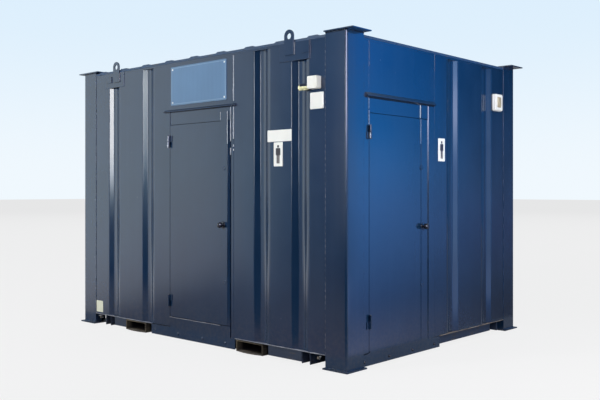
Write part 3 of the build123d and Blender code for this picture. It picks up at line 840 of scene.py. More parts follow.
def hinge_halves(door, hand, body, node):
    """Two knuckles, the upper halves on the leaf or the lower ones on the frame, each with its web and
    flap, a chamfer at both ends, and the pin's head on the outer one."""
    low, high = span(door.side, node)
    start = KNUCKLE_GAP / 2
    tall = high[2] - low[2] - (HINGE_HEIGHTS[1] - HINGE_HEIGHTS[0])
    shape, pins = Shape(), Shape()
    for middle in HINGE_HEIGHTS:
        inner, outer = middle + hand * start, middle + hand * (start + tall)
        axis = np.array([0, 0, hand])
        foot = on_side(door.side, door.seam, WALL_FACE - AXIS_OUT, inner)
        long = abs(outer - inner)
        shape.turned(foot, axis, [(0, 0), (0, KNUCKLE_R - MM), (MM, KNUCKLE_R), (long - 2 * MM, KNUCKLE_R),
                                  (long, KNUCKLE_R - 2 * MM), (long, 0)], steps=28)
        pins.turned(foot + axis * long, axis, PIN_HEAD)
        for end, depth in ((WEB_END, (WALL_FACE - AXIS_OUT, WALL_FACE - MM)),
                           (FLAP_END, (WALL_FACE - FLAP_THICK, WALL_FACE))):
            s = sorted((door.seam + hand * FLAP_START, door.seam + hand * end))
            shape.block(door.side, s, depth, sorted((inner, outer)))
    where = "leaf" if hand > 0 else "frame"
    piece(f"{door.name}_{where}_hinge_halves", shape, body=body, bevel=0.8 * MM, sharp=40, replaces=[node])
    piece(f"{door.name}_{where}_hinge_pins", pins, "scuffed_edge", body)


def door_set(door):
    """Everything that closes one doorway."""
    sheets_over(door)
    leaf(door)
    knob(door)
    hinge_halves(door, 1, door.body, f"{door.name}_door_hinges")
    hinge_halves(door, -1, "cabin", f"{door.name}_frame_hinges")


# ------------------------------------------------------------------ seams, edges and fixings

WALL_EDGE = {side: HALF_RUN[side] - POST_LEG for side in SIDES}
LONG_WALLS = ("front", "back")
SILLS = {"front": "front_sill", "right": "end_sill"}
LIP_TALL, LIP_DEPTH = 6 * MM, (0.5 * MM, 24 * MM)
RAIL_TALL, RAIL_BACK = 18 * MM, 30 * MM
BEAD_SHARP = 70


def edge_strips():
    """The angle that closes every sheet at its foot, its toe a little proud, worn bare on the long walls and
    rusty on the ends, and pale partly as a painted highlight; and the rail that the sheets run up to under
    the roof."""
    rails = Shape()
    for side, edge in WALL_EDGE.items():
        runs = [(-edge, edge)]
        if side in SILLS:
            sill = [corner[0] for corner in span(side, SILLS[side])]
            runs = [(low, high) for low, high in ((-edge, sill[0]), (sill[1], edge)) if high > low]
        lip = Shape()
        for run in runs:
            lip.block(side, run, LIP_DEPTH, (WALL_LOW - LIP_TALL, WALL_LOW))
        rails.block(side, (-edge, edge), (WALL_FACE - MM, RAIL_BACK), (WALL_TOP - RAIL_TALL, WALL_TOP))
        finish = "rubbed_wear_and_highlight" if side in LONG_WALLS else "rust_and_highlight_edge"
        piece(f"foot_angle_{side}", lip, finish, bevel=MM)
    piece("roof_rails", rails, bevel=1.5 * MM)


def flange_ridge():
    """The edge of the front doorway's flange under the paint: a low ridge with a long slope away from
    the door."""
    section = [(6 * MM, -MM), (0, 1.7 * MM), (-2 * MM, -MM)]
    z = np.array([WALL_TOP - RAIL_TALL, WALL_LOW + 90 * MM])
    path = on_side("front", FRONT_DOOR.jamb_end, WALL_FACE, z)
    piece("flange_ridge", Shape().carried(path, (1, 0, 0), outward("front"), section))


# The short runs over the end doorway: the station, the bead's radius and the heights in millimetres.
END_HEAD_WELDS = (
    (END_DOOR.wall_end + 5 * MM, 2.2 * MM, ((2422, 2460), (2475, 2540), (2552, 2578), (2590, 2631))),
    (END_DOOR.jamb_end + 6 * MM, 2.6 * MM, ((2490, 2518), (2530, 2580), (2590, 2642))),
)
POST_WELD_IN, POST_WELD_OUT = 8 * MM, -1.5 * MM


def weld_runs():
    """Weld beads: down both edges of every wall, round the posts at the foot and cap plates, and the
    short runs at the end doorway."""
    shape = Shape()
    for side, edge in WALL_EDGE.items():
        for s in (-edge, edge):
            shape.stitches(side, s, 2.4 * MM, (WALL_LOW, WALL_TOP), radius=2.6 * MM)
        post = HALF_RUN[side]
        for run in ((POST_WELD_IN - post, POST_LEG - post), (post - POST_LEG, post - POST_WELD_IN)):
            shape.weld(side, run, POST_WELD_OUT, POST_BASE + 2 * MM, radius=3.5 * MM)
            shape.weld(side, run, POST_WELD_OUT, POST_TOP - 2 * MM, radius=3.0 * MM)
    for s, radius, runs in END_HEAD_WELDS:
        for low, high in runs:
            shape.weld("right", s, WALL_FACE, (low * MM, high * MM), radius=radius)
    piece("weld_runs", shape, sharp=BEAD_SHARP)


def post_joints():
    """A thin run of filler down the joints between the long walls' sheets and their posts."""
    shape = Shape()
    for side in LONG_WALLS:
        for s in (-WALL_EDGE[side], WALL_EDGE[side]):
            shape.weld(side, s, 2 * MM, (WALL_LOW, WALL_TOP), radius=2.2 * MM, ripple=0.35, pitch=50 * MM)
    piece("post_joints", shape, "joint_filler", sharp=BEAD_SHARP)


UNDER_FACE = WALL_FACE - MM
KNUCKLE_FACE = WALL_FACE - AXIS_OUT - KNUCKLE_R + 2 * MM
KNUCKLE_LEFT = END_DOOR.seam - KNUCKLE_R + 2 * MM

# For each piece its finish, its body and its runs: side, s, depth, heights, radius and ripple.
# Beads whose pale colour is a painted highlight, along the doorway joints and on the upper hinges' knuckles.
HIGHLIGHT_BEADS = {
    "end_frame_highlight_beads": ("dim_painted_highlight", "cabin", (
        ("right", END_DOOR.wall_end - 2 * MM, UNDER_FACE, (LEAF_TOP - 90 * MM, LEAF_TOP + 22 * MM), 3.6, 0.4),
        ("right", END_DOOR.wall_end - 2 * MM, UNDER_FACE, (LEAF_TOP + 34 * MM, DRIP_LOW), 2.4, 0.4))),
    "frame_highlight_beads": ("pale_painted_highlight", "cabin", (
        ("front", FRONT_DOOR.seam - MM, KNUCKLE_FACE, (1.832, 1.887), 5, 0.4),
        ("right", KNUCKLE_LEFT, WALL_FACE - AXIS_OUT, (1.845, 1.886), 5, 0.4),
        ("right", END_DOOR.strip[0] - 4 * MM, HEADER_FACE, (LEAF_TOP + 8 * MM, DRIP_LOW), 3.6, 0.4),
        ("front", FRONT_DOOR.jamb_end, UNDER_FACE, (1.775, 1.79), 4.2, 0.5),
        ("front", FRONT_DOOR.jamb_end, UNDER_FACE, (1.81, 1.828), 4.2, 0.5),
        ("front", FRONT_DOOR.jamb_end, UNDER_FACE, (1.88, DRIP_LOW), 4.2, 0.5),
        ("front", FRONT_DOOR.jamb_end, UNDER_FACE, (DRIP_HIGH + 2 * MM, 2.62), 4.2, 0.5),
        ("front", FRONT_DOOR.jamb_start + 6 * MM, WALL_FACE, (1.74, 1.80), 3.8, 0.5),
        ("front", FRONT_DOOR.jamb_start + 6 * MM, WALL_FACE, (1.86, DRIP_LOW), 3.8, 0.5))),
    "front_leaf_highlight_beads": ("pale_painted_highlight", "front_door", (
        ("front", FRONT_DOOR.strip[1] + MM, UNDER_FACE, (1.84, FRONT_DOOR.strip_top), 2.8, 0.4),
        ("front", FRONT_DOOR.strip[0] - MM, WALL_FACE, (LEAF_TOP + 12 * MM, FRONT_DOOR.strip_top - 4 * MM),
         2.8, 0.16),
        ("front", FRONT_DOOR.seam - MM, KNUCKLE_FACE, (1.897, 1.944), 5, 0.4))),
    "end_leaf_highlight_beads": ("dim_painted_highlight", "end_door", (
        ("right", END_DOOR.strip[0] - 3 * MM, WALL_FACE, (1.83, LEAF_TOP - 4 * MM), 2.4, 0.4),)),
}


def painted_highlight_beads():
    """Pale runs of bead in the joints round both doorways, ragged and worn off lower down, and pale
    patches on the knuckles of the upper hinges: their pale colour is a painted highlight."""
    for name, (finish, body, runs) in HIGHLIGHT_BEADS.items():
        shape = Shape()
        for side, s, depth, z, radius, ripple in runs:
            shape.weld(side, s, depth, z, radius=radius * MM, ripple=ripple)
        piece(name, shape, finish, body=body, sharp=BEAD_SHARP)


def plate_welds():
    """Beads round the eyes' backing plates, and thick ones up both sides of each eye, pale partly from
    rubbed wear and partly as a painted highlight.
    """
    shape, fillets = Shape(), Shape()
    low_z, high_z = (corner[2] for corner in corners_of("eye_backing_plates"))
    face = WALL_FACE - 2 * MM
    for side in LONG_WALLS:
        plates, eyes = (points[points[:, 1] < WALL_BACK] for points in
                        (seen_from(side, "eye_backing_plates"), seen_from(side, "lifting_eyes")))
        for hand in (-1, 1):
            flat = plates[(plates[:, 0] * hand > 0) & (plates[:, 1] > -10 * MM)]
            low_s, high_s = flat[:, 0].min(), flat[:, 0].max()
            shape.weld(side, (low_s, high_s), face, low_z, radius=3 * MM)
            for s in (low_s, high_s):
                shape.weld(side, s, face, (low_z, high_z), radius=3 * MM)
            eye = eyes[eyes[:, 0] * hand > 0]
            for s in (eye[:, 0].min(), eye[:, 0].max()):
                fillets.weld(side, s, face - 4 * MM, (eye[:, 2].min(), WALL_TOP), radius=6 * MM, ripple=0.3)
    piece("plate_welds", shape, sharp=BEAD_SHARP)
    piece("eye_welds", fillets, "rubbed_wear_and_highlight", sharp=BEAD_SHARP)


def door_edges():
    """What closes the line under each leaf: a sweep on the end leaf and a nosing on the front sill, pale
    partly from rubbed wear and partly as a painted highlight.
    """
    s = END_DOOR.left + 6 * MM, END_DOOR.lock - 8 * MM
    z = END_DOOR.bottom - 8 * MM, END_DOOR.bottom + 6 * MM
    sweep = Shape().block("right", s, (1.5 * MM, WALL_FACE), z)
    piece("end_leaf_sweep", sweep, body=END_DOOR.body, bevel=0.8 * MM)
    s = FRONT_DOOR.wall_end + 4 * MM, FRONT_DOOR.strip[0] - 8 * MM
    z = FRONT_DOOR.bottom - 10 * MM, FRONT_DOOR.bottom - 5 * MM
    nosing = Shape().block("front", s, (0.8 * MM, WALL_FACE + MM), z)
    piece("front_sill_nosing", nosing, "rubbed_wear_and_highlight", bevel=0.8 * MM)


# Side, finish, stations and height in millimetres.
SILL_BOLTS = (("front", "blue_paint", (-583, -231, 121, 433), 56),
              ("right", "dark_metal", (-1141, -803, -462, -122), 51))
WASHER_R, WASHER_TALL, HEAD_R, HEAD_TALL = 17 * MM, 2.2 * MM, 11.5 * MM, 9 * MM


def sill_bolts():
    """Domed bolts on washers through the two sill plates, bare of paint on the end."""
    for side, finish, stations_mm, z in SILL_BOLTS:
        shape = Shape()
        for s in stations_mm:
            shape.dome(side, s * MM, WALL_FACE, z * MM, WASHER_R, WASHER_TALL, steps=20)
            shape.dome(side, s * MM, WALL_FACE - 2 * MM, z * MM, HEAD_R, HEAD_TALL, steps=20)
        piece(f"{side}_sill_bolts", shape, finish, sharp=60)


COVER_FACE, COVER_R = WALL_FACE - STRIP_PROUD, 20 * MM
COVER_EDGE = [(0, COVER_FACE + MM), (0, COVER_FACE - 1.5 * MM), (3 * MM, COVER_FACE - 3 * MM),
              (9 * MM, COVER_FACE - 3.4 * MM), (12 * MM, COVER_FACE - 2 * MM)]
LOCK_COVERS = ((FRONT_DOOR, ((417, 1.62), (428, 0.60))), (END_DOOR, ((-330, 1.62), (-320, 0.60))))


def lock_covers():
    """A filled and painted-over lock hole above and below each knob."""
    for door, places in LOCK_COVERS:
        shape = Shape()
        for station, z in places:
            s = station * MM
            shape.plate(door.side, (s - COVER_R, s + COVER_R), (z - COVER_R, z + COVER_R), COVER_R,
                        COVER_EDGE)
        piece(f"{door.name}_lock_covers", shape, body=door.body, sharp=50)


MOUTH_BULGE, MOUTH_BACK = 25 * MM, 40 * MM


def mouth_plates():
    """The lower lip of each fork pocket, bent outwards: its front edge stands out from the pocket by
    25 mm * (1 - u^2), where u runs from -1 to 1 across it."""
    shape = Shape()
    low, _ = span("front", "fork_pockets")
    for side in LONG_WALLS:
        points = seen_from(side, "fork_pockets")
        for near in (points[:, 0] < 0, points[:, 0] > 0):
            s = np.linspace(points[near, 0].min(), points[near, 0].max(), 25)
            u = (s - s.mean()) / (s[-1] - s.mean())
            front = (low[1] + 2 * MM - MOUTH_BULGE * (1 - u**2))[:, None]
            depth = front + np.linspace(0, 1, 4) * (MOUTH_BACK - front)
            top, under = (on_side(side, s[:, None], depth, low[2] + up) for up in (9 * MM, MM))
            shape.slab(top, under)
    piece("pocket_lips", shape, "worn_steel", bevel=1.5 * MM)


TAB_S, TAB_LONG, TAB_BACK, TAB_LEAN = 1530 * MM, 26 * MM, 30 * MM, 22 * MM
TAB_Z, TAB_RISE, STUD_BACK, STUD_Z = 66 * MM, 26 * MM, 34 * MM, 78 * MM
TAB_SECTION = [(3 * MM, 9 * MM), (-3 * MM, 9 * MM), (-3 * MM, -9 * MM), (3 * MM, -9 * MM)]
STUD = [(0, 0), (0, 7 * MM), (20 * MM, 7 * MM), (21 * MM, 12 * MM), (28 * MM, 12 * MM), (28 * MM, 0)]


def foot_brackets():
    """A bent tab and a stud beside each front foot, under the wall: the tab rises by the sine of 0.7 pi t
    as t runs from 0 to 1 along it."""
    tabs, studs = Shape(), Shape()
    for hand in (1, -1):
        s = hand * TAB_S
        t = np.linspace(0, 1, 9)
        path = on_side("front", s + hand * TAB_LONG * t, TAB_BACK - TAB_LEAN * t,
                       TAB_Z + TAB_RISE * np.sin(np.pi * t * 0.7))
        up = np.array([0, 0, 1.0])
        tabs.carried(path, up, np.cross((hand, 0, 0), up), TAB_SECTION)
        studs.turned(on_side("front", s, STUD_BACK, STUD_Z), outward("front"), STUD, steps=6)
    piece("foot_tabs", tabs, "bright_screw", bevel=MM)
    piece("foot_studs", studs, "worn_steel")


# ------------------------------------------------------------------ board, plates and fittings

SCREW_R, SCREW_TALL = 8.5 * MM, 3.5 * MM
LINE_IN, LINE_WIDE, SCREW_IN = 12 * MM, 4 * MM, 27 * MM


def sign_board():
    """A plain board with rounded corners, a thin pale line inside its edge and a screw at each corner."""
    s, z, face = front_of("front", "sign_board")
    edge = [(0, WALL_FACE), (0, face + 0.8 * MM), (0.8 * MM, face + 0.3 * MM)]
    board = Shape().plate("front", s, z, 8 * MM, edge)
    piece("plain_board", board, "board_blue", replaces=["sign_board"])
    inner = LINE_IN + LINE_WIDE
    ring = [(LINE_IN, face + MM), (LINE_IN, face), (inner, face), (inner, face + MM), (LINE_IN, face + MM)]
    piece("board_line", Shape().moulded("front", s, z, 14 * MM, ring), "pale_border")
    screws = Shape()
    for at_s in (s[0] + SCREW_IN, s[1] - SCREW_IN):
        for at_z in (z[0] + SCREW_IN, z[1] - SCREW_IN):
            screws.dome("front", at_s, face + 0.5 * MM, at_z, SCREW_R, SCREW_TALL)
    piece("board_screws", screws, "white_plate")


def plates_of(side, node):
    """The (s, z) spans of a node's separate plates on one wall, told apart by gaps in height."""
    points = seen_from(side, node)
    points = points[np.abs(points[:, 1]) < 20 * MM]
    z = np.unique(points[:, 2].round(4))
    spans = []
    for low, high in zip(z[::2], z[1::2]):
        row = points[(points[:, 2] > low - MM) & (points[:, 2] < high + MM)]
        spans.append(((row[:, 0].min(), row[:, 0].max()), (low, high)))
    return spans


NOTICE_FACE = WALL_FACE - 3 * MM
NOTICE_EDGE = [(0, WALL_FACE), (0, NOTICE_FACE + 0.8 * MM), (0.8 * MM, NOTICE_FACE)]


def notice_plates():
    """The blank plates, and a standing figure on each tall one."""
    plates = Shape()
    tall = []
    for side in ("front", "right"):
        for s, z in plates_of(side, "notice_plates"):
            plates.plate(side, s, z, 5 * MM, NOTICE_EDGE)
            if z[1] - z[0] > s[1] - s[0]:
                tall.append((side, s, z))
    piece("blank_plates", plates, "white_plate", replaces=["notice_plates"])
    for number, (side, s, z) in enumerate(tall):
        standing_figure(number, side, sum(s) / 2, z)


PRINT_EDGE = [(0, NOTICE_FACE + 0.4 * MM), (0, NOTICE_FACE - 0.7 * MM)]
FIGURE_FOOT, FIGURE_TALL = 0.12, 0.76  # shares of its plate's height
HEAD_HALF, BODY_HALF, LEG = 11.5 * MM, 26 * MM, (1.5 * MM, 17 * MM)


def standing_figure(number, side, s, z):
    """A plain standing figure: a round head over a body and two legs with rounded corners. Their heights
    are shares of the figure's own."""
    foot, tall = z[0] + FIGURE_FOOT * (z[1] - z[0]), FIGURE_TALL * (z[1] - z[0])

    def flat(shape, left, right, low, high, radius):
        shape.plate(side, (s + left, s + right), (foot + low * tall, foot + high * tall), radius, PRINT_EDGE)

    upper, lower = Shape(), Shape()
    flat(upper, -HEAD_HALF, HEAD_HALF, 0.86, 1.0, HEAD_HALF)
    flat(upper, -BODY_HALF, BODY_HALF, 0.44, 0.84, 9 * MM)
    flat(lower, -LEG[1], -LEG[0], 0.0, 0.46, 5 * MM)
    flat(lower, LEG[0], LEG[1], 0.0, 0.46, 5 * MM)
    piece(f"figure_{number}_upper", upper, "figure_print")
    piece(f"figure_{number}_legs", lower, "figure_grey")


LID_DEEP, LID_SCREW_IN, COVER_SCREW_IN, SMALL_SCREW_R = 17 * MM, 12 * MM, 14 * MM, 4.5 * MM


def junction_box():
    """A moulded box with a lid seam and four lid screws, and the blank cover under it with its two."""
    s, z, face = front_of("front", "junction_box")
    seam = face + LID_DEEP
    box = Shape().plate("front", s, z, 9 * MM, [
        (0, WALL_FACE), (0, seam + 1.2 * MM), (1.6 * MM, seam + MM), (1.6 * MM, seam - MM),
        (0, seam - 1.2 * MM), (0, face + 4 * MM), (1.2 * MM, face + 1.2 * MM), (4 * MM, face)])
    for at_s in (s[0] + LID_SCREW_IN, s[1] - LID_SCREW_IN):
        for at_z in (z[0] + LID_SCREW_IN, z[1] - LID_SCREW_IN):
            box.dome("front", at_s, face + 0.2 * MM, at_z, SMALL_SCREW_R, 1.2 * MM, steps=10)
    piece("junction_housing", box, "white_plastic", replaces=["junction_box"])
    s, z, face = front_of("front", "cover_plate")
    cover = Shape().plate("front", s, z, 7 * MM, [
        (0, WALL_FACE), (0, face + 3 * MM), (1.5 * MM, face + MM), (4 * MM, face)])
    for at_s in (s[0] + COVER_SCREW_IN, s[1] - COVER_SCREW_IN):
        cover.dome("front", at_s, face + 0.2 * MM, sum(z) / 2, SMALL_SCREW_R, 1.4 * MM, steps=10)
    piece("blank_cover", cover, "white_plate", replaces=["cover_plate"])


RIBS_AT = (30 * MM, 40 * MM, 50 * MM)
RIB_STEPS = ((0, 0), (1.5 * MM, 2 * MM), (4 * MM, 2 * MM), (5.5 * MM, 0))
NECK_LONG, COLLAR_R = 18 * MM, 18 * MM


def power_inlet():
    """The inlet's ribbed barrel, turned about its own length, with its spring flap over the mouth."""
    s, z, face = front_of("front", "power_inlet")
    middle_depth, middle_z = (face + span("front", "power_inlet")[1][1]) / 2, (z[0] + z[1]) / 2
    barrel = (z[1] - z[0]) / 2
    long = s[1] - s[0]
    ribs = [(at + step, barrel - sink) for at in RIBS_AT for step, sink in RIB_STEPS]
    profile = [(0, 0), (6 * MM, 0), (6 * MM, barrel - 5 * MM), (0, barrel - 4 * MM), (0, barrel - MM),
               (MM, barrel), *ribs, (long - NECK_LONG - 3 * MM, barrel), (long - NECK_LONG, barrel - 3 * MM),
               (long - NECK_LONG, COLLAR_R), (long, COLLAR_R), (long, 0)]
    shape = Shape().turned(on_side("front", s[0], middle_depth, middle_z), (1, 0, 0), profile, steps=32)
    piece("inlet_barrel", shape, "yellow_plastic", sharp=40, replaces=["power_inlet"])
    edge = [(0, middle_depth + barrel * 0.7), (0, face + MM), (3 * MM, face - 2 * MM)]
    flap = Shape().plate("front", (s[0] + 15 * MM, s[1] - 5 * MM), (middle_z + 6 * MM, z[1] + 4 * MM), 6 * MM,
                         edge)
    piece("inlet_flap", flap, "dark_metal", sharp=50)


LENS_S, LENS_Z = (962 * MM, 1038 * MM), (2248 * MM, 2352 * MM)
LENS_PROUD, LENS_RIB, LENS_PITCH = 9 * MM, 0.7 * MM, 8.5 * MM


def wall_lamp():
    """A rounded housing and a ribbed lens: the lens stands out by (1 - u^6)(1 - v^6) times 9 mm and a rib
    of 0.7 mm * cos(2 pi z / 8.5 mm), where u and v run from -1 to 1 over its width and height."""
    s, z, front = front_of("right", "wall_lamp")
    face = front + 16 * MM
    housing = Shape().plate("right", s, z, 16 * MM, [
        (0, WALL_FACE), (0, WALL_FACE - 8 * MM), (1.5 * MM, WALL_FACE - 9.5 * MM), (1.5 * MM, face + 10 * MM),
        (3 * MM, face + 5 * MM), (7 * MM, face + 1.5 * MM), (13 * MM, face)], steps=8)
    piece("lamp_housing", housing, "white_plate", sharp=50, replaces=["wall_lamp"])
    at_s, at_z = stations(*LENS_S, 4 * MM)[:, None], stations(*LENS_Z, 1.2 * MM)
    u = (at_s - np.mean(LENS_S)) / (LENS_S[1] - LENS_S[0]) * 2
    v = (at_z - np.mean(LENS_Z)) / (LENS_Z[1] - LENS_Z[0]) * 2
    edge = (1 - u**6) * (1 - v**6)
    depth = face - edge * (LENS_PROUD + LENS_RIB * np.cos(2 * np.pi * at_z / LENS_PITCH))
    back = face + 4 * MM + 0 * depth
    lens = Shape().slab(on_side("right", at_s, depth, at_z), on_side("right", at_s, back, at_z))
    piece("lamp_lens", lens, "lens_plastic", sharp=60)


LABEL_S, LABEL_Z = (-1602 * MM, -1484 * MM), (131 * MM, 250 * MM)


def wall_label():
    """The blank square label low on the front wall's left end."""
    edge = [(0, WALL_FACE + 0.5 * MM), (0, WALL_FACE - 0.8 * MM)]
    piece("blank_label", Shape().plate("front", LABEL_S, LABEL_Z, 4 * MM, edge), "cream_label")


# ------------------------------------------------------------------ roof and inside

FIXING_IN, FIXING_SUNK = 45 * MM, 10 * MM
FIXING_X = np.arange(-1.5, 1.51, 0.37) + 0.205
FIXING = [(0, 0), (0, 12 * MM), (2 * MM, 12 * MM), (2 * MM, 8 * MM), (7 * MM, 7 * MM), (7 * MM, 0)]


def roof_fixings():
    """A row of fixings down each side of the roof sheet."""
    shape = Shape()
    roof = corners_of("roof_sheet")[1][2] - FIXING_SUNK
    for y in (FIXING_IN - HALF_WIDTH, HALF_WIDTH - FIXING_IN):
        for x in FIXING_X:
            shape.turned((x, y, roof), (0, 0, 1), FIXING, steps=8)
    piece("roof_fixings", shape, "bright_screw")


BOARD_BACK, BOARD_FACE = 74.2 * MM, 80 * MM
BOARD_WIDE, BOARD_GAP, STRIP_HALF = 0.62, 0.8 * MM, 18 * MM
STRIP_EDGE = [(3 * MM, BOARD_FACE + 4 * MM), (0, BOARD_FACE + 2 * MM), (0, BOARD_FACE - MM)]
SKIRTING_TALL, SKIRTING_THICK = 70 * MM, 9 * MM
CEILING_STRIPS = np.linspace(-1.2, 1.2, 5)
CEILING_STRIP_HALF = 20 * MM


def boarded(side, shape, covers, s, z):
    """Boards of about one width over a stretch of wall, with a cover strip over each joint."""
    count = max(1, round((s[1] - s[0]) / BOARD_WIDE))
    joints = np.linspace(s[0], s[1], count + 1)
    z = z[0] + BOARD_GAP, z[1] - BOARD_GAP
    for start, end in zip(joints[:-1], joints[1:]):
        shape.block(side, (start + BOARD_GAP, end - BOARD_GAP), (BOARD_BACK, BOARD_FACE), z)
    for joint in joints[1:-1]:
        covers.plate(side, (joint - STRIP_HALF, joint + STRIP_HALF), z, MM, STRIP_EDGE)


def inside():
    """The lining: boards and cover strips on every wall, a skirting, and strips across the ceiling."""
    boards, covers, skirting = Shape(), Shape(), Shape()
    low, high = FLOOR_TOP, CEILING_LOW
    for side in SIDES:
        room = HALF_RUN[side] - WALL_BACK
        door = {"front": FRONT_DOOR, "right": END_DOOR}.get(side)
        stretches = [(-room, room)]
        if door:
            stretches = [(-room, door.wall_end), (door.jamb_end, room)]
            boarded(side, boards, covers, (door.wall_end, door.jamb_end), (DRIP_LOW, high))
            boarded(side, boards, covers, (door.wall_end, door.jamb_start), (door.head, DRIP_LOW))
        for stretch in stretches:
            boarded(side, boards, covers, stretch, (low, high))
            skirting.block(side, stretch, (BOARD_FACE - MM, BOARD_FACE + SKIRTING_THICK),
                           (low, low + SKIRTING_TALL))
    across = WALL_BACK, 2 * HALF_WIDTH - WALL_BACK
    for x in CEILING_STRIPS:
        covers.block("front", (x - CEILING_STRIP_HALF, x + CEILING_STRIP_HALF), across,
                     (high - 5 * MM, high + MM))
    piece("lining_boards", boards, "white_lining", bevel=0.8 * MM)
    piece("cover_strips", covers, "white_lining")
    piece("skirting", skirting, "white_lining", bevel=2 * MM)


pressed_walls()
corner_posts()
for doorway in DOORWAYS:
    door_set(doorway)
for make in (edge_strips, flange_ridge, weld_runs, post_joints, painted_highlight_beads, plate_welds, door_edges,
             sill_bolts, lock_covers, mouth_plates, foot_brackets, sign_board, notice_plates, junction_box,
             power_inlet, wall_lamp, wall_label, roof_fixings, inside):
    make()


# ------------------------------------------------------------------ floor, light and camera


def stage_sheet(name, shape, material, only_in_gloss=False):
    """A stage piece from a shape's open surface; a studio card shows only in gloss."""
    made = mesh_of(name, shape, material)[1]
    if only_in_gloss:
        made.visible_camera = False
        made.visible_diffuse = False
        made.visible_shadow = False
        made.visible_transmission = False
    return made


def floor_finish():
    """Pale matt floor. The camera sees it a little paler than it lights the cabin, fading with distance."""
    f = Finish("pale_floor")
    x, y, _ = f.axes(f.place())
    far = (x * x + y * y).ramp(20.0, 2500.0)
    seen = f.node("ShaderNodeLightPath", output="Is Camera Ray")
    matt = f.node("ShaderNodeBsdfDiffuse", sockets={"Color": (0.50, 0.50, 0.51)})
    tone = f.mix(far, (0.97, 0.97, 0.97), (0.90, 0.90, 0.90))
    pale = f.node("ShaderNodeEmission", sockets={"Color": tone})
    both = f.node("ShaderNodeMixShader", sockets={0: 0.84, 1: matt, 2: pale})
    return f.joined(f.node("ShaderNodeMixShader", sockets={0: seen, 1: matt, 2: both}))


FLOOR_REACH = 110.0
FLOOR_SIDE = np.array([-FLOOR_REACH, FLOOR_REACH])
floor_x, floor_y = np.meshgrid(FLOOR_SIDE, FLOOR_SIDE, indexing="ij")
stage_sheet("stage_floor", Shape().surface(np.stack([floor_x, floor_y, 0 * floor_x], -1)), floor_finish())


def build_world():
    """Soft fill from all round, with a pale sky behind the cabin, bluer higher up."""
    world = bpy.data.worlds.new("studio")
    bpy.context.scene.world = world
    f = Finish("studio", world)
    height = f.axes(f.node("ShaderNodeTexCoord", output="Generated"))[2]
    sky = f.mix(height.ramp(0.0, 0.24), (0.871, 0.939, 0.991), (0.723, 0.863, 0.982))
    seen, glossy, through = (f.node("ShaderNodeLightPath", output=f"Is {ray} Ray")
                             for ray in ("Camera", "Glossy", "Transmission"))
    pale = f.node("ShaderNodeBackground", sockets={"Color": sky, "Strength": 1.0})
    fill = f.node("ShaderNodeBackground", sockets={"Color": (0.84, 0.91, 1.0), "Strength": 0.52})
    either = seen.most(glossy).most(through)
    f.joined(f.node("ShaderNodeMixShader", sockets={0: either, 1: fill, 2: pale}), "ShaderNodeOutputWorld")


build_world()

LOOKOUT = np.array([5.681, -6.144, 1.422])


def aim(direction):
    """The turn that points a camera or lamp along a direction, level side to side."""
    x, y, z = direction
    return (np.arctan2(np.hypot(x, y), -z), 0.0, np.arctan2(-x, y))


def softbox(name, centre, target, wide, tall, glow):
    """A rectangular soft light of an even glow, facing a target. Cards stand in for it in gloss."""
    light = bpy.data.lights.new(name, "AREA")
    light.shape = "RECTANGLE"
    light.size, light.size_y = wide, tall
    light.energy = glow * np.pi * wide * tall
    made = bpy.data.objects.new(name, light)
    bpy.context.scene.collection.objects.link(made)
    made.location = centre
    made.rotation_euler = aim(np.array(target) - np.array(centre))
    made.visible_camera = False
    made.visible_glossy = False


softbox("end_softbox", (5.3, -0.85, 2.7), (1.8, -0.5, 1.6), 3.2, 2.0, 6.4)
softbox("front_softbox", (-2.75, -10.3, 4.4), (-2.75, 0.0, 2.0), 1.9, 3.6, 30.0)


def cove(name, side, run, finish, reach=10.6, bend=2.5, high=9.0):
    """A curved card laid before a wall and turned up at its far end, for the wall's gloss to show. It
    fans out on lines through the wall from a point as far behind it as the lookout is before it: the
    point at depth d lies at behind + (wall - behind) * (behind.d - d) / behind.d, and its UV map
    holds the wall's own s and z there."""
    s0 = LOOKOUT[:2] @ np.array(ALONG[side])
    depth0 = -(LOOKOUT[:2] @ np.array(INWARD[side]) + REACH[side])
    turn = np.linspace(0, np.pi / 2, 10)[1:]
    out = np.concatenate([stations(0.35, reach - bend, 0.5), reach - bend + bend * np.sin(turn), [reach]])
    up = 0.012 + np.concatenate([np.zeros(len(out) - len(turn) - 1), bend * (1 - np.cos(turn)), [high]])
    spread = (depth0 + out) / depth0
    s = stations(*run, 0.25)[:, None]
    grid = on_side(side, s0 + (s - s0) * spread, -out, up)
    shown_z = LOOKOUT[2] + (up - LOOKOUT[2]) / spread
    made = stage_sheet(name, Shape().surface(grid), finish, only_in_gloss=True)
    where = np.stack(np.broadcast_arrays(s, shown_z), -1).reshape(-1, 2)
    corners = np.empty(len(made.data.loops), int)
    made.data.loops.foreach_get("vertex_index", corners)
    made.data.uv_layers.new(name="shown").data.foreach_set("uv", where[corners].ravel())


def cove_finish(name, top, first, steps, lean=0.0):
    """A cove's glow: a grading with the wall's height, which leans, then others that each take over
    along a run of the wall: way * (1 + fall * (1 - way)), where way runs from 0 to 1 over the run."""
    f = Finish(name)
    s, z, _ = f.axes(f.node("ShaderNodeUVMap"))
    glow = f.graded(z - lean * s, top, first)
    for low, high, fall, stops in steps:
        way = s.slope(low, high)
        glow = f.mix(way * (1 + fall * (1 - way)), glow, f.graded(z, top, stops))
    return f.joined(f.node("ShaderNodeEmission", sockets={"Color": glow, "Strength": top}))


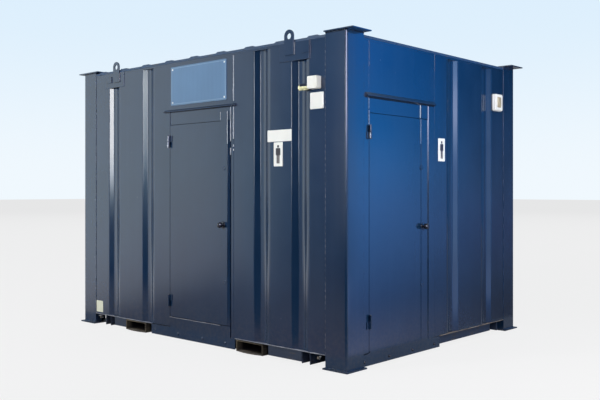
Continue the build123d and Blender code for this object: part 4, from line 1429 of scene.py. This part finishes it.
WIDE_HAZE = {0.2: (0.36, 0.30, 0.22), 0.42: (0.50, 0.42, 0.36), 0.6: (1.05, 1.03, 1.02),
             0.75: (1.36, 1.36, 1.40), 1.15: (1.58, 1.70, 1.78), 1.7: (1.65, 1.88, 1.96),
             2.8: (1.65, 1.85, 1.92)}
SOFT_HAZE = {0.2: (0.42, 0.35, 0.33), 0.5: (0.50, 0.50, 0.56), 0.8: (0.90, 1.08, 1.35),
             1.3: (1.00, 1.30, 1.50), 1.7: (1.20, 1.55, 1.85), 2.4: (1.05, 1.25, 1.50)}
DIM_HAZE = {0.2: (0.42, 0.30, 0.26), 0.5: (0.44, 0.40, 0.42), 0.8: (0.30, 0.36, 0.50),
            1.3: (0.12, 0.25, 0.60), 1.9: (0.12, 0.25, 0.60), 2.4: (0.20, 0.35, 0.70)}
THIN_HAZE = {0.2: (0.50, 0.35, 0.30), 0.5: (0.50, 0.42, 0.35), 1.0: (0.58, 0.68, 0.82),
             1.55: (0.65, 0.87, 1.20), 2.4: (0.50, 0.75, 1.20)}
POST_HAZE = {0.1: (0.55, 0.39, 0.33), 0.5: (0.47, 0.39, 0.32), 0.8: (0.24, 0.22, 0.29),
             1.0: (0.04, 0.09, 0.24), 1.6: (0.02, 0.05, 0.38), 1.9: (0.33, 0.55, 1.25),
             2.4: (0.52, 0.93, 1.78)}
NEAR_BLUE = {0.15: (0.80, 0.85, 1.35), 0.5: (0.27, 0.48, 1.25), 0.95: (0.42, 1.15, 3.1),
             1.3: (0.50, 1.60, 4.45), 1.65: (0.33, 1.80, 5.3), 1.95: (0.0, 1.33, 4.7),
             2.5: (0.0, 1.02, 4.2)}
FAR_BLUE = {0.2: (0.13, 0.10, 0.08), 0.5: (0.15, 0.15, 0.20), 1.1: (0.19, 0.22, 0.48),
            1.5: (0.15, 0.21, 0.42), 1.9: (0.09, 0.15, 0.36), 2.5: (0.0, 0.04, 0.17)}

cove("front_cove", "front", (-4.4, 1.87), cove_finish("front_cove", 3.0, WIDE_HAZE, (
    (0.25, 0.75, 0.0, SOFT_HAZE), (1.00, 1.26, 0.6, DIM_HAZE), (1.29, 1.36, 0.0, THIN_HAZE),
    (1.42, 1.59, 0.0, DIM_HAZE), (1.60, 1.63, 0.0, POST_HAZE)), lean=0.25))
cove("end_cove", "right", (-1.40, 3.6),
     cove_finish("end_cove", 6.0, NEAR_BLUE, ((-1.3, 1.0, 0.7, FAR_BLUE),)), reach=10.0)

# Flat cards that only show in gloss: the name, the two ends in plan, the lowest and highest edge, the
# strength, and one colour or {height: colour}. From left_facet_card on, only bends and folds turn to them.
UPRIGHT_CARDS = (
    ("front_shade", (-3.7, -12.2), (3.2, -12.2), (0.02, 9.0), 1.0, (0.012, 0.012, 0.016)),
    ("far_shade", (-9.0, 27.0), (11.0, 27.0), (0.02, 24.0), 1.0, (0.02, 0.16, 0.52)),
    ("wide_card", (-6.55, -12.0), (-3.7, -11.4), (0.02, 9.0), 3.0,
     {0.0: (0.4, 0.35, 0.3), 1.0: (1.5, 1.55, 1.55), 9.0: (2.2, 2.3, 2.35)}),
    ("left_facet_card", (-3.0, -10.35), (-2.1, -10.35), (0.02, 4.2), 20.0,
     {0.0: (0.1, 0.1, 0.1), 0.8: (0.3, 0.3, 0.3), 1.3: (2.0, 2.6, 3.0), 1.9: (14.0, 15.0, 16.0),
      2.3: (20.0, 20.0, 20.0)}),
    ("right_facet_card", (-2.1, -10.35), (-1.2, -10.35), (0.02, 4.2), 12.0,
     {0.0: (0.1, 0.1, 0.1), 1.3: (0.4, 0.6, 0.7), 1.9: (1.2, 1.9, 2.2), 2.5: (5.0, 5.9, 6.3),
      3.0: (5.2, 6.2, 6.6), 3.6: (9.7, 10.7, 11.0)}),
    ("groove_card", (12.2, 0.4), (12.2, 2.75), (0.02, 8.0), 12.0,
     {0.0: (1.2, 1.9, 3.4), 2.0: (1.0, 1.85, 4.1), 2.5: (2.2, 3.5, 6.4), 3.3: (6.6, 7.7, 11.6),
      4.0: (1.85, 3.4, 6.6)}),
    ("far_groove_card", (12.2, 2.75), (12.2, 5.2), (0.02, 8.0), 3.0,
     {0.0: (0.8, 1.2, 2.2), 2.0: (0.8, 1.3, 2.6), 3.2: (0.35, 0.85, 1.95), 4.4: (0.14, 0.5, 1.5)}),
    ("bend_card", (12.2, 5.2), (12.2, 10.4), (0.02, 8.0), 1.0, (0.10, 0.28, 0.75)),
    ("fold_card", (4.4, -12.0), (12.2, -5.0), (1.6, 8.0), 17.0,
     {1.6: (0.3, 0.4, 0.6), 2.4: (4.0, 4.6, 7.0), 3.1: (12.0, 12.0, 16.5), 8.0: (12.5, 12.5, 17.0)}),
)

# Cards that lie on the floor before them, dark or tinted: two opposite corners, the strength, the colour.
FLOOR_CARDS = (
    ("front_floor_card", (-6.0, -12.0), (9.0, -1.8), 1.0, (0.03, 0.03, 0.03)),
    ("groove_floor_card", (3.0, 0.4), (12.2, 2.75), 2.4, (0.40, 0.55, 1.0)),
    ("far_groove_floor_card", (3.0, 2.75), (12.2, 3.9), 1.6, (0.45, 0.60, 1.0)),
)
CARD_LIFT = 0.010


def card_finish(name, top, glow):
    """A card's glow: one colour, or stops graded with the height, times its strength."""
    f = Finish(name)
    colour = f.graded(f.axes(f.place())[2], top, glow) if isinstance(glow, dict) else glow
    return f.joined(f.node("ShaderNodeEmission", sockets={"Color": colour, "Strength": top}))


def build_cards():
    """An upright card is the grid of its two ends by its two edges; a floor card is the grid of its
    corners, lifted just off the floor."""
    for name, start, end, heights, top, glow in UPRIGHT_CARDS:
        ends = np.linspace(start, end, 2)[:, None]
        edges = np.array(heights)[None, :, None]
        grid = np.concatenate([ends + 0 * edges, edges + 0 * ends[..., :1]], -1)
        stage_sheet(name, Shape().surface(grid), card_finish(name, top, glow), only_in_gloss=True)
    for name, start, end, top, glow in FLOOR_CARDS:
        x, y = np.meshgrid((start[0], end[0]), (start[1], end[1]), indexing="ij")
        grid = np.stack([x, y, CARD_LIFT + 0 * x], -1)
        stage_sheet(name, Shape().surface(grid), card_finish(name, top, glow), only_in_gloss=True)


build_cards()


LENS = 47.30
HORIZON_SHIFT = -0.016


def build_camera():
    """The camera at the lookout, level, with the horizon shifted."""
    camera = bpy.data.objects.new("camera", bpy.data.cameras.new("camera"))
    bpy.context.scene.collection.objects.link(camera)
    camera.location = LOOKOUT
    camera.rotation_euler = aim((-0.6729, 0.7397, 0.0))
    camera.data.lens = LENS
    camera.data.sensor_width = 36.0
    camera.data.shift_y = HORIZON_SHIFT
    camera.data.clip_end = 500.0
    bpy.context.scene.camera = camera


build_camera()
bpy.context.scene.view_settings.view_transform = "Standard"
